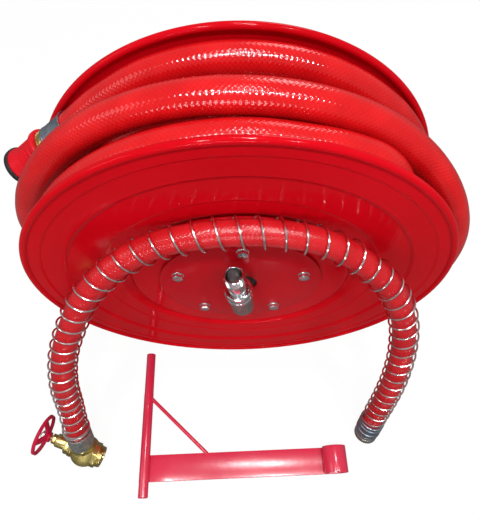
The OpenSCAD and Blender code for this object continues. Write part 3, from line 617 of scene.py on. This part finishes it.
# %% [markdown]
# ## Hub plates and bolts
#
# A thick plate is bolted over the middle of each disc. The bolts are chromed
# hexagon heads on washers; one head is made and repeated round the circle.

# %% Hub plates
front_plate = [
    (21.5, 2), (108, 2), (108, 6), (34, 6), (34, 57.6), (23, 57.6), (23, 4.5), (21.5, 4.5),
]  # fmt: skip
finished(
    "front_hub_plate", turned(rounded(front_plate, 1.0), 144), "drum", "disc_red", hub_paint, "front_hub", matrix=hub
)
back_plate = [(0, 2), (108, 2), (108, 6), (34, 6), (34, 16), (23, 16), (23, 5), (0, 5)]
finished(
    "back_hub_plate",
    turned([(0, 2)] + rounded(back_plate, 1.0, closed=False)[1:-1] + [(0, 5)], 144, closed=False),
    "drum",
    "disc_red",
    hub_paint,
    "back_hub",
    matrix=back_side,
)


# %% Hub bolts
def hub_bolts():
    shapes = []
    for i in range(5):
        spot = turn(i * 72 - 88, "Z") @ shift(86, 0, 0)
        shapes.append((ring(4, 8, 0.4, 2, 0.5, 32), spot))
        head = prism(6, 7.5, -4.9, 0.4, 0.9)
        shapes.append((head, spot @ turn(17 * i, "Z")))
        shapes.append((turned([(0, -4.9), (4, 0.4), (4, 18), (0, 18)], 16, closed=False), spot))
    return gather(*shapes)


finished("front_bolt_heads", hub_bolts(), "drum", "chrome", chrome, "front_bolts", matrix=hub)
finished("back_bolt_heads", hub_bolts(), "drum", "chrome", chrome, "back_bolts", matrix=back_side)

# %% [markdown]
# ## Hose on the drum
#
# The visible turns are one hose, from the nozzle over the back of the drum to
# the front, where its last turn dives between the others. Two tables give its
# height over the drum and its distance behind the front rim at each angle, as
# in the solid model, and the curve through them is smooth. Under it lie two
# inner layers, wound as close as the hose allows.

# %% Route of the turns
REEL_HOSE_D = 37
TURN_R = 247
LAST_TURN = 737.5
NOZZLE_TURN = -37.5
turn_rise = (
    (-60, 0), (0, 0), (36, 1), (60, 6), (90, 8), (180, 8), (225, 18), (270, 38),
    (282, 34), (294, 27), (306, 22), (330, 19), (360, 20), (390, 20), (402, 22),
    (414, 26), (426, 29), (438, 33), (456, 34), (474, 30), (500, 20), (540, 8),
    (600, 2), (640, 1), (720, 4), (750, 4),
)  # fmt: skip
turn_place = (
    (-60, 0.99), (0, 1), (90, 0.975), (180, 0.845), (225, 0.72), (270, 0.565), (282, 0.53),
    (294, 0.48), (306, 0.445), (330, 0.385), (360, 0.315), (396, 0.305), (408, 0.245),
    (420, 0.175), (432, 0.14), (450, 0.115), (540, 0.045), (630, 0.01), (720, 0), (750, 0),
)  # fmt: skip
SIDE_TURN = 25


def lookup(angle, table):
    for (a, low), (b, high) in zip(table, table[1:]):
        if a <= angle <= b:
            return low + (high - low) * (angle - a) / (b - a)
    return table[-1][1] if angle > table[-1][0] else table[0][1]


def turn_point(angle):
    r, a = TURN_R + lookup(angle, turn_rise), radians(angle)
    y = SIDE_TURN + (DRUM_WIDTH - 2 * SIDE_TURN) * lookup(angle, turn_place)
    return Vector((r * sin(a), y, DISC_R + r * cos(a)))


leave = turn_point(NOZZLE_TURN)
swing = radians(NOZZLE_TURN)
nozzle_dir = Vector((-cos(swing), -0.08, sin(swing))).normalized()
hose_end = leave + 89 * nozzle_dir
count = round((LAST_TURN - NOZZLE_TURN) / 15)
turn_angles = [NOZZLE_TURN + i * (LAST_TURN - NOZZLE_TURN) / count for i in range(count + 1)]
last = radians(LAST_TURN)
inner_end = turn_point(LAST_TURN) + REEL_HOSE_D * Vector((cos(last), 0, -sin(last)))
outward = Vector((sin(last), 0, cos(last)))
forward = Vector((cos(last), 0, -sin(last)))
DIVE_R = 90
dive_middle = inner_end - DIVE_R * outward
dive = [dive_middle + DIVE_R * (outward * cos(radians(d)) + forward * sin(radians(d))) for d in range(20, 81, 20)]
turn_line = [hose_end, hose_end - REEL_HOSE_D * nozzle_dir]
turn_line += [turn_point(a) for a in turn_angles] + [inner_end] + dive
reel_path = [reel @ p for p in smooth_line(turn_line, 10)]

# %% The turns and the inner layers
visible_turns = finished(
    "reel_hose_turns", swept(reel_path, REEL_HOSE_D / 2 * MM, 36), "drum", "hose_red", reel_hose_finish, "reel_hose"
)


def layer(radius, first, last_place, start):
    """The middle line of one wound layer, from place to place."""
    laps = abs(last_place - first) / (REEL_HOSE_D + 1)
    steps = ceil(laps * 60)
    points = []
    for k in range(steps + 1):
        a = start + laps * tau * k / steps
        y = first + (last_place - first) * k / steps
        points.append(reel @ Vector((radius * sin(a), y, DISC_R + radius * cos(a))))
    return points


inner = gather(
    swept(layer(206.5, 35, 130, 1.0), REEL_HOSE_D / 2 * MM, 24),
    swept(layer(172, 130, 35, 2.6), REEL_HOSE_D / 2 * MM, 24),
    swept(layer(137.5, 36, 129, 0.4), REEL_HOSE_D / 2 * MM, 24),
)
finished("reel_hose_layers", inner, "drum", "hose_red", reel_hose_finish, "hose_core")

# %% [markdown]
# ## Nozzle
#
# The nozzle is turned on its own axis: a crimped ferrule, a brass ring, and a
# red body whose front sleeve twists. The sleeve has grip ribs, which cover
# only part of the round, and flares to a bell with a rubber lip.

# %% Nozzle
nozzle = along(hose_end, nozzle_dir)


def crimped(outline, jaws, height, low, high, steps=96):
    """A turned sleeve with the ridges that the jaws of a press leave."""
    bm = turned(outline, steps)
    for vert in bm.verts:
        x, y, z = vert.co
        reach = (x * x + y * y) ** 0.5
        if low < z < high and reach > outline[0][0] + 1.5:
            side = (atan2(y, x) / tau * jaws) % 1.0
            lift = height * max(0.0, 1 - min(side, 1 - side) / 0.09)
            vert.co = (x * (1 + lift / reach), y * (1 + lift / reach), z)
    return bm


nozzle_ferrule = [
    (18.6, -32), (20.9, -32), (21, -30.6), (20.2, -29.6), (20, -28), (20, -18), (20, -8), (20, 1),
    (20.6, 2.5), (20.6, 4.4), (19.8, 5), (15, 5), (15, -2), (18.6, -2),
]  # fmt: skip
finished(
    "nozzle_crimp_ferrule",
    crimped(rounded(nozzle_ferrule, 0.5, 2), 8, 0.5, -29, 3, 128),
    "drum",
    "zinc",
    zinc_plate,
    "nozzle_ferrule",
    matrix=nozzle,
)
brass_tail = [(10, -1), (15, -1), (15, 5), (20, 5), (20, 15.6), (15, 16), (15, 30), (10, 30)]
tail_ring = gather(turned(rounded(brass_tail, 0.6)), *[ring(19, 20.35, z, z + 1.2, 0.3) for z in (6.6, 9.2, 11.8)])
finished("nozzle_brass_tail", tail_ring, "drum", "brass", turned_brass, "nozzle_tail", matrix=nozzle)
body_outline = [
    (15, 16), (23.6, 16), (24.7, 17.4), (24.7, 21.6), (23.6, 23), (22, 23.6), (22, 28),
    (19, 28), (19, 58), (12, 58), (12, 31), (15, 31),
]  # fmt: skip
finished(
    "nozzle_body_shell",
    turned(rounded(body_outline, 0.6)),
    "drum",
    "nozzle_red",
    nozzle_plastic,
    "nozzle_body",
    matrix=nozzle,
)
sleeve_outline = [
    (19.05, 28.3), (21.6, 28.3), (22, 29), (22, 32), (21.2, 33), (21.2, 52), (22, 53.5), (22.3, 56),
    (23.2, 60), (24.5, 64.5), (24.5, 69.3), (21.5, 69.3), (15.5, 58.2), (19.05, 58.2),
]  # fmt: skip


def grip_ribs():
    """Short raised bars round the sleeve, in three rows and four groups."""
    bars = []
    for group in range(4):
        for row in (36, 40.6, 45.2, 49.8):
            bm = bmesh.new()
            outline = rounded([(20.6, row - 0.9), (22, row - 0.5), (22, row + 0.5), (20.6, row + 0.9)], 0.3, 2)
            face = bm.faces.new([bm.verts.new((r, 0, z)) for r, z in outline])
            bmesh.ops.spin(bm, geom=[face], cent=(0, 0, 0), axis=(0, 0, 1), angle=radians(58), steps=16)
            bmesh.ops.recalc_face_normals(bm, faces=bm.faces[:])
            bars.append((bm, turn(group * 90 + 16, "Z")))
    return bars


finished(
    "nozzle_twist_sleeve",
    gather(turned(rounded(sleeve_outline, 0.7)), *grip_ribs()),
    "nozzle_tip",
    "nozzle_red",
    nozzle_plastic,
    "nozzle_sleeve",
    matrix=nozzle,
)
lip = [(24.5, 65.4), (26.2, 65.6), (26.5, 66.6), (26.5, 71), (25.4, 72.3), (22.4, 72.3), (21.5, 71.4), (21.5, 69.3), (24.5, 69.3)]
finished(
    "nozzle_rubber_lip", turned(rounded(lip, 0.5)), "nozzle_tip", "black_rubber", black_rubber, "nozzle_bumper", matrix=nozzle
)

# %% [markdown]
# ## Inlet spindle
#
# The water comes in through the fixed spindle in the middle of the front
# disc. It stands a little off vertical: a satin body, a chromed collar, and a
# chromed pipe with a thread cut round its top.

# %% Spindle
spindle = hub @ shift(0, 0, -21) @ turn(90, "X") @ turn(-7, "Y")
BODY_BELOW = 23
BODY_ABOVE = 16
COLLAR_H = 19
PIPE_TOP = BODY_ABOVE + COLLAR_H + 36
body_line = [(0, -BODY_BELOW), (13, -BODY_BELOW), (15.5, -BODY_BELOW + 2.5), (15.5, BODY_ABOVE), (0, BODY_ABOVE)]
stub = turned([(0, 5), (15.9, 5), (15.9, 22), (0, 22)], 64, closed=False)
spindle_body = gather(
    (turned(rounded(body_line, 1.2, closed=False), closed=False), spindle), (stub, hub @ shift(0, 0, -26))
)
finished("spindle_cast_body", spindle_body, "inlet", "steel", satin_steel, "spindle_body")
collar_line = [
    (13.2, 16), (17.4, 16), (18.2, 17), (18.2, 21.5), (17.3, 22.3), (17.3, 24), (18.2, 24.8),
    (18.2, 32.6), (16.6, 34.6), (13.2, 35),
]  # fmt: skip
finished(
    "spindle_chrome_collar",
    turned(rounded(collar_line, 0.35)),
    "inlet",
    "chrome",
    chrome,
    "spindle_collar",
    matrix=spindle,
)
THREAD_LEN = 15
pipe_line = [
    (9.8, 16), (12.9, 16), (12.9, PIPE_TOP - THREAD_LEN - 1), (12.4, PIPE_TOP - THREAD_LEN), (12.4, PIPE_TOP - 0.8),
    (11.8, PIPE_TOP), (10.4, PIPE_TOP), (9.8, PIPE_TOP - 0.8),
]  # fmt: skip
pipe_thread = thread(12.3, 13.2, 1.8, PIPE_TOP - THREAD_LEN + 0.8, 7.2, 48)
finished(
    "spindle_threaded_pipe",
    gather(turned(rounded(pipe_line, 0.3)), pipe_thread),
    "inlet",
    "chrome",
    chrome,
    "spindle_pipe",
    matrix=spindle,
)

# %% [markdown]
# ## Valve
#
# The valve is a rough brass casting. Balls and tubes that merely overlap look
# machined, so their outer skin is remeshed as one and then smoothed, which
# leaves the soft fillets that a casting has.

# %% Places on the valve
valve_x = -stem_out
valve_z = (hose_up - hose_up.dot(valve_x) * valve_x).normalized()
valve_y = valve_z.cross(valve_x)
axes = Matrix((valve_x, valve_y, valve_z)).transposed().to_4x4()
valve = at(valve_at, axes)
branch = valve @ Matrix.Rotation(-asin(hose_up.dot(stem_out)), 4, "Y")
stem = valve @ turn(-90, "Y")


def settled(obj, size, smoothing):
    """Remeshes a piece as one skin and smooths it, then keeps the result."""
    remesh = obj.modifiers.new("skin", "REMESH")
    remesh.mode = "VOXEL"
    remesh.voxel_size = size
    remesh.use_smooth_shade = True
    smooth = obj.modifiers.new("fillet", "SMOOTH")
    smooth.factor = 0.5
    smooth.iterations = smoothing
    bpy.context.view_layer.update()
    depsgraph = bpy.context.evaluated_depsgraph_get()
    settled_mesh = bpy.data.meshes.new_from_object(obj.evaluated_get(depsgraph))
    obj.modifiers.clear()
    obj.data = settled_mesh
    triangles[obj.name] = sum(len(p.vertices) - 2 for p in settled_mesh.polygons)
    return obj


# %% Valve body
belly = bmesh.new()
bmesh.ops.create_uvsphere(belly, u_segments=64, v_segments=32, radius=23.9)
casting = gather(
    (belly, valve),
    (ring(0.01, 14.3, 0, 24.9, 0.3, 64), stem),
    (ring(0.01, 17, -24, 0, 0.3, 64), stem),
    (ring(0.01, 17, 0, 20.9, 0.3, 64), branch),
)
valve_body = finished("valve_casting", casting, "supply_hose", "brass", cast_brass, "valve_body", sharp=80)
settled(valve_body, 0.0008, 6)
inlet_end = [(10, -30), (15.2, -30), (15.7, -29.2), (15.7, -14), (10, -14)]
valve_ends = gather(
    (turned(rounded(inlet_end, 0.4)), stem),
    (prism(8, 19.5, -22, -13.5, 0.8), stem),
    (thread(15.6, 16.6, 2.2, -28.6, 2.8, 48), stem),
    (ring(12, 16.6, 19.4, 21.6, 0.4), stem),
    (ring(12, 16.2, 22.6, 24.9, 0.4), stem),
)
finished("valve_inlet_end", valve_ends, "supply_hose", "brass", turned_brass)
finished(
    "valve_hose_tail",
    gather((prism(6, 20.5, 21, 29, 0.7), branch), (ring(10, 14, 21, 33, 0.4), branch)),
    "supply_hose",
    "brass",
    turned_brass,
    "valve_tail",
)
finished(
    "valve_hose_ferrule",
    crimped(rounded([(14, 29), (18.8, 29), (19, 30), (19, 40), (19, 50), (19, 58.6), (18.7, 60), (15.1, 60), (15.1, 33), (14, 33)], 0.4, 2), 8, 0.5, 29.5, 59.5, 128),
    "supply_hose",
    "zinc",
    grey_zinc,
    "valve_ferrule",
    matrix=branch,
)

# %% Bonnet, gland and stem
NECK_TOP = 50
bonnet = gather(
    (prism(6, 15.5, 25, 33, 0.7), stem),
    (turned(rounded([(3.6, 33), (10.5, 33), (10.5, 48.6), (9.2, NECK_TOP), (3.6, NECK_TOP)], 0.6)), stem),
)
finished("valve_bonnet_nut", bonnet, "supply_hose", "brass", turned_brass, "valve_bonnet")
gland = gather((prism(6, 8, 50, 57, 0.6), stem))
finished("valve_gland_nut", gland, "supply_hose", "brass", turned_brass, "gland_nut")
stem_line = [(0, 4.3), (6, 4.3), (6, 7.3), (3.5, 7.3), (3.5, 76.2), (2.7, 77), (0, 77)]
finished(
    "valve_stem_rod",
    gather((turned(rounded(stem_line, 0.3, closed=False), 48, closed=False), stem), (thread(3.2, 3.5, 1.2, 70.6, 4.6, 24), stem)),
    "valve_handle",
    "brass",
    turned_brass,
    "valve_stem",
)

# %% [markdown]
# ## Handwheel
#
# A small cast wheel: a thick oval rim with shallow finger dips, and five
# spokes that slope back to the hub, so from the side it looks like a cone.

# %% Handwheel
HUB_AT = 60
RIM_AT = 73
WHEEL_RIM = 30
rim_line = [(WHEEL_RIM + 3 * cos(radians(a)), RIM_AT + 3 * sin(radians(a))) for a in range(0, 360, 30)]
rim = turned(rim_line, 120)
for vert in rim.verts:
    x, y, z = vert.co
    reach = (x * x + y * y) ** 0.5
    if reach > WHEEL_RIM:
        dip = 1 - 0.035 * (0.5 + 0.5 * cos(10 * atan2(y, x))) * (reach - WHEEL_RIM) / 3
        vert.co = (x * dip, y * dip, z)
spokes = []
for i in range(5):
    spoke = bmesh.new()
    bmesh.ops.create_cone(spoke, cap_ends=True, segments=16, radius1=3.2, radius2=2.4, depth=25.5)
    bmesh.ops.scale(spoke, vec=(0.75, 2.1, 1), verts=spoke.verts[:])
    tilt = turn(i * 72 + 20, "Z") @ shift(18, 0, 69.2) @ turn(71.5, "Y")
    spokes.append((spoke, tilt))
hub_line = [(3.5, 60), (7.2, 60), (8, 61), (8, 68.6), (7, 70), (3.5, 70)]
wheel = gather(rim, turned(rounded(hub_line, 0.6), 64), *spokes)
finished("handwheel_casting", wheel, "valve_handle", "wheel_red", wheel_paint, "handwheel", matrix=stem)
finished("handwheel_lock_nut", prism(6, 6.6, 70, 75, 0.6), "valve_handle", "zinc", grey_zinc, "handwheel_nut", matrix=stem)

# %% [markdown]
# ## Coupling
#
# The other end of the inlet hose is a pressed ferrule with two crimp grooves
# and a free nut, whose thread shows from below.

# %% Coupling
route_end = inlet_route[-1]
coupling = along(route_end, route_end - inlet_route[-2])
ferrule_line = [
    (15.1, -27), (18.9, -27), (19.5, -26), (19.5, -22.4), (18.2, -21.4), (18.2, -18.6), (19.5, -17.6),
    (19.5, -9.6), (18.2, -8.6), (18.2, -5.6), (19.5, -4.6), (19.5, 3.2), (18.6, 4), (12, 4), (12, 0), (15.1, 0),
]  # fmt: skip
finished(
    "coupling_crimp_ferrule",
    turned(rounded(ferrule_line, 0.7)),
    "supply_hose",
    "zinc",
    zinc_plate,
    "coupling_ferrule",
    matrix=coupling,
)
tail_line = [(9.5, 0), (12, 0), (12, 9), (12.9, 9), (12.9, 11), (9.5, 11)]
finished("coupling_brass_tail", turned(rounded(tail_line, 0.3)), "supply_hose", "brass", turned_brass, "coupling_tail", matrix=coupling)
nut_line = [
    (12.05, 4.3), (17.4, 4.3), (18.5, 5.6), (18.5, 10), (17.8, 10.8), (17.8, 12.2), (18.5, 13),
    (18.5, 20.6), (17.2, 22.3), (14.4, 22.3), (13.9, 21.4), (13.9, 8.7), (12.05, 8.7),
]  # fmt: skip
finished(
    "coupling_free_nut",
    gather(turned(rounded(nut_line, 0.4)), thread(13.9, 13.3, 1.8, 14, 4.2, 48)),
    "coupling_ring",
    "zinc",
    satin_steel,
    "coupling_nut",
    matrix=coupling,
)

# %% [markdown]
# ## Wall bracket
#
# The bracket is three pieces of bar, welded and painted as one: a round bar
# that pivots on the wall, a flat strap whose end is rolled into an eye, and a
# thin brace. The strap is a line of its middle, extruded to its width and
# then given a thickness, so the rolled eye keeps its wall and its seam.

# %% Wall bracket
bracket = at((-162, -197, 0), turn(1, "Z"))
PIVOT_R = 8
PIN_R = 7.75
pivot_line = [
    (0, -43), (PIN_R, -43), (PIN_R, -20), (PIVOT_R, -20), (PIVOT_R, 120), (PIN_R, 120), (PIN_R, 190), (0, 190),
]  # fmt: skip
pivot = gather(
    (turned(rounded(pivot_line, 1.4, closed=False), 48, closed=False), shift(0, 0, PIVOT_R) @ turn(-90, "X"))
)
finished("bracket_pivot_bar", pivot, "wall_bracket", "bracket_red", bracket_paint, "pivot_bar", matrix=bracket)

ARM_W = 40
ARM_T = 5
ARM_REACH = 309
EYE_R = 13.8
mid_r = EYE_R + ARM_T / 2
strap_line = [Vector((6.5 + i * (ARM_REACH - 6.5) / 8, 0, ARM_T / 2)) for i in range(9)]
eye_middle = Vector((ARM_REACH, 0, EYE_R + ARM_T))
for k in range(1, 42):
    a = radians(-90 + k * 308 / 41)
    strap_line.append(eye_middle + mid_r * Vector((cos(a), 0, sin(a))))
strap = bmesh.new()
first = [strap.verts.new(p - Vector((0, ARM_W / 2, 0))) for p in strap_line]
strap_edges = [strap.edges.new(pair) for pair in zip(first, first[1:])]
grown = bmesh.ops.extrude_edge_only(strap, edges=strap_edges)["geom"]
bmesh.ops.translate(strap, vec=(0, ARM_W, 0), verts=[v for v in grown if isinstance(v, bmesh.types.BMVert)])
strap_obj = finished("bracket_strap", strap, "wall_bracket", "bracket_red", bracket_paint, "bracket_arm", matrix=bracket, sharp=40)
wall = strap_obj.modifiers.new("thickness", "SOLIDIFY")
wall.thickness = ARM_T * MM
wall.offset = 0
edge = strap_obj.modifiers.new("worn edge", "BEVEL")
edge.width = 0.7 * MM
edge.segments = 3
edge.limit_method = "ANGLE"
edge.angle_limit = radians(50)

foot = Vector((0, 116, PIVOT_R))
far = Vector((100, ARM_W / 2, 3.4))
rod_dir = (far - foot).normalized()
rod_points = [foot + rod_dir * 4, foot + rod_dir * 60, far + rod_dir * 1.5]
brace = gather(swept([bracket @ p for p in rod_points], 3 * MM, 24))
finished("bracket_brace_rod", brace, "wall_bracket", "bracket_red", bracket_paint, "brace_rod")

# %% [markdown]
# ## Finishes of the hidden parts
#
# The bearing, the waterway and the drum barrel are the solid model's own
# meshes. Their shapes are right, so they only get a finish.

# %% Finishes of the carried-over nodes
carried = {
    "drum_barrel": disc_paint,
    "front_nuts": grey_zinc,
    "back_nuts": grey_zinc,
    "hub_bush": turned_brass,
    "dust_seal": black_rubber,
    "waterway_shaft": satin_steel,
    "shaft_o_rings": black_rubber,
    "thrust_washer": turned_brass,
    "retaining_ring": satin_steel,
    "outlet_sleeve": cast_brass,
    "outlet_pipe": grey_zinc,
    "outlet_union": turned_brass,
    "nozzle_jet": turned_brass,
    "gland_packing": black_rubber,
    "valve_disc": turned_brass,
    "seat_washer": black_rubber,
    "coupling_washer": black_rubber,
}
for name, material in carried.items():
    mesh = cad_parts[name].data
    mesh.materials.clear()
    mesh.materials.append(material)

# %% [markdown]

# %% [markdown]
# ## Floor and light
#
# A plain pale floor and soft light from large panels. The camera sees the
# surroundings as white, and shiny surfaces see the floor dim and the sky grey,
# but the light on the reel comes only from the panels and a modest sky, so
# colours stay as they were mixed.

# %% Floor
floor_mesh = bmesh.new()
bmesh.ops.create_grid(floor_mesh, x_segments=1, y_segments=1, size=6)
floor_data = bpy.data.meshes.new("floor")
floor_mesh.to_mesh(floor_data)
floor_mesh.free()
floor = bpy.data.objects.new("floor", floor_data)
floor.location.z = -0.0005
bpy.context.scene.collection.objects.link(floor)
ground = Finish("floor_white", Base_Color=(0.62, 0.62, 0.62, 1), Roughness=0.7, Specular_IOR_Level=0.1)
light_path = ground.add("ShaderNodeLightPath")
seen = ground.math("MAXIMUM", light_path.outputs["Is Camera Ray"], light_path.outputs["Is Glossy Ray"])
glow = ground.add("ShaderNodeEmission")
brightness = ground.math("MULTIPLY_ADD", light_path.outputs["Is Camera Ray"], 0.94)
brightness.node.inputs[2].default_value = 0.1
ground.join(brightness, glow.inputs["Strength"])
blend = ground.add("ShaderNodeMixShader")
ground.join(ground.math("MULTIPLY", seen, 0.9), blend.inputs[0])
ground.join(ground.shader.outputs[0], blend.inputs[1])
ground.join(glow.outputs[0], blend.inputs[2])
ground.join(blend.outputs[0], ground.tree.nodes["Material Output"].inputs["Surface"])
floor_data.materials.append(ground.material)

# %% World
world = bpy.data.worlds.new("studio")
bpy.context.scene.world = world
world.use_nodes = True
sky = world.node_tree
background = sky.nodes["Background"]
background.inputs["Color"].default_value = (1, 1, 1, 1)
background.inputs["Strength"].default_value = 0.31
white = sky.nodes.new("ShaderNodeBackground")
white.inputs["Color"].default_value = (1, 1, 1, 1)
white.inputs["Strength"].default_value = 1.0
path_node = sky.nodes.new("ShaderNodeLightPath")
choose = sky.nodes.new("ShaderNodeMixShader")
sky.links.new(path_node.outputs["Is Camera Ray"], choose.inputs[0])
sky.links.new(background.outputs[0], choose.inputs[1])
sky.links.new(white.outputs[0], choose.inputs[2])
sky.links.new(choose.outputs[0], sky.nodes["World Output"].inputs["Surface"])


# %% Lamps
def panel(name, place, target, width, height, power):
    """A soft rectangular lamp that faces a point."""
    lamp = bpy.data.lights.new(name, "AREA")
    lamp.shape = "RECTANGLE"
    lamp.size, lamp.size_y, lamp.energy = width, height, power
    obj = bpy.data.objects.new(name, lamp)
    bpy.context.scene.collection.objects.link(obj)
    obj.location = place
    obj.rotation_mode = "QUATERNION"
    obj.rotation_quaternion = (Vector(place) - Vector(target)).to_track_quat("Z", "Y")
    obj.visible_camera = False
    return obj


for name, x in (("left_spot", -0.55), ("middle_spot", 0.2), ("right_spot", 0.95)):
    panel(name, (x, -0.75, 2.4), (0, 0.1, 0.3), 0.18, 0.09, 16)
panel("front_panel", (-0.35, -2.6, 0.85), (0, 0, 0.35), 1.6, 0.12, 14)
panel("overhead_panel", (0.12, 0.06, 2.4), (0.03, -0.16, 0), 0.34, 0.16, 9)
panel("left_panel", (-2.0, -0.6, 1.6), (0, 0, 0.3), 0.8, 0.8, 4)
panel("back_panel", (0.8, 2.2, 1.8), (0, 0, 0.3), 0.9, 0.9, 12)

# %% Sizes, and the end
for name, number in sorted(triangles.items(), key=lambda item: -item[1])[:8]:
    print(name, number, "triangles")
print("all pieces:", sum(triangles.values()), "triangles")
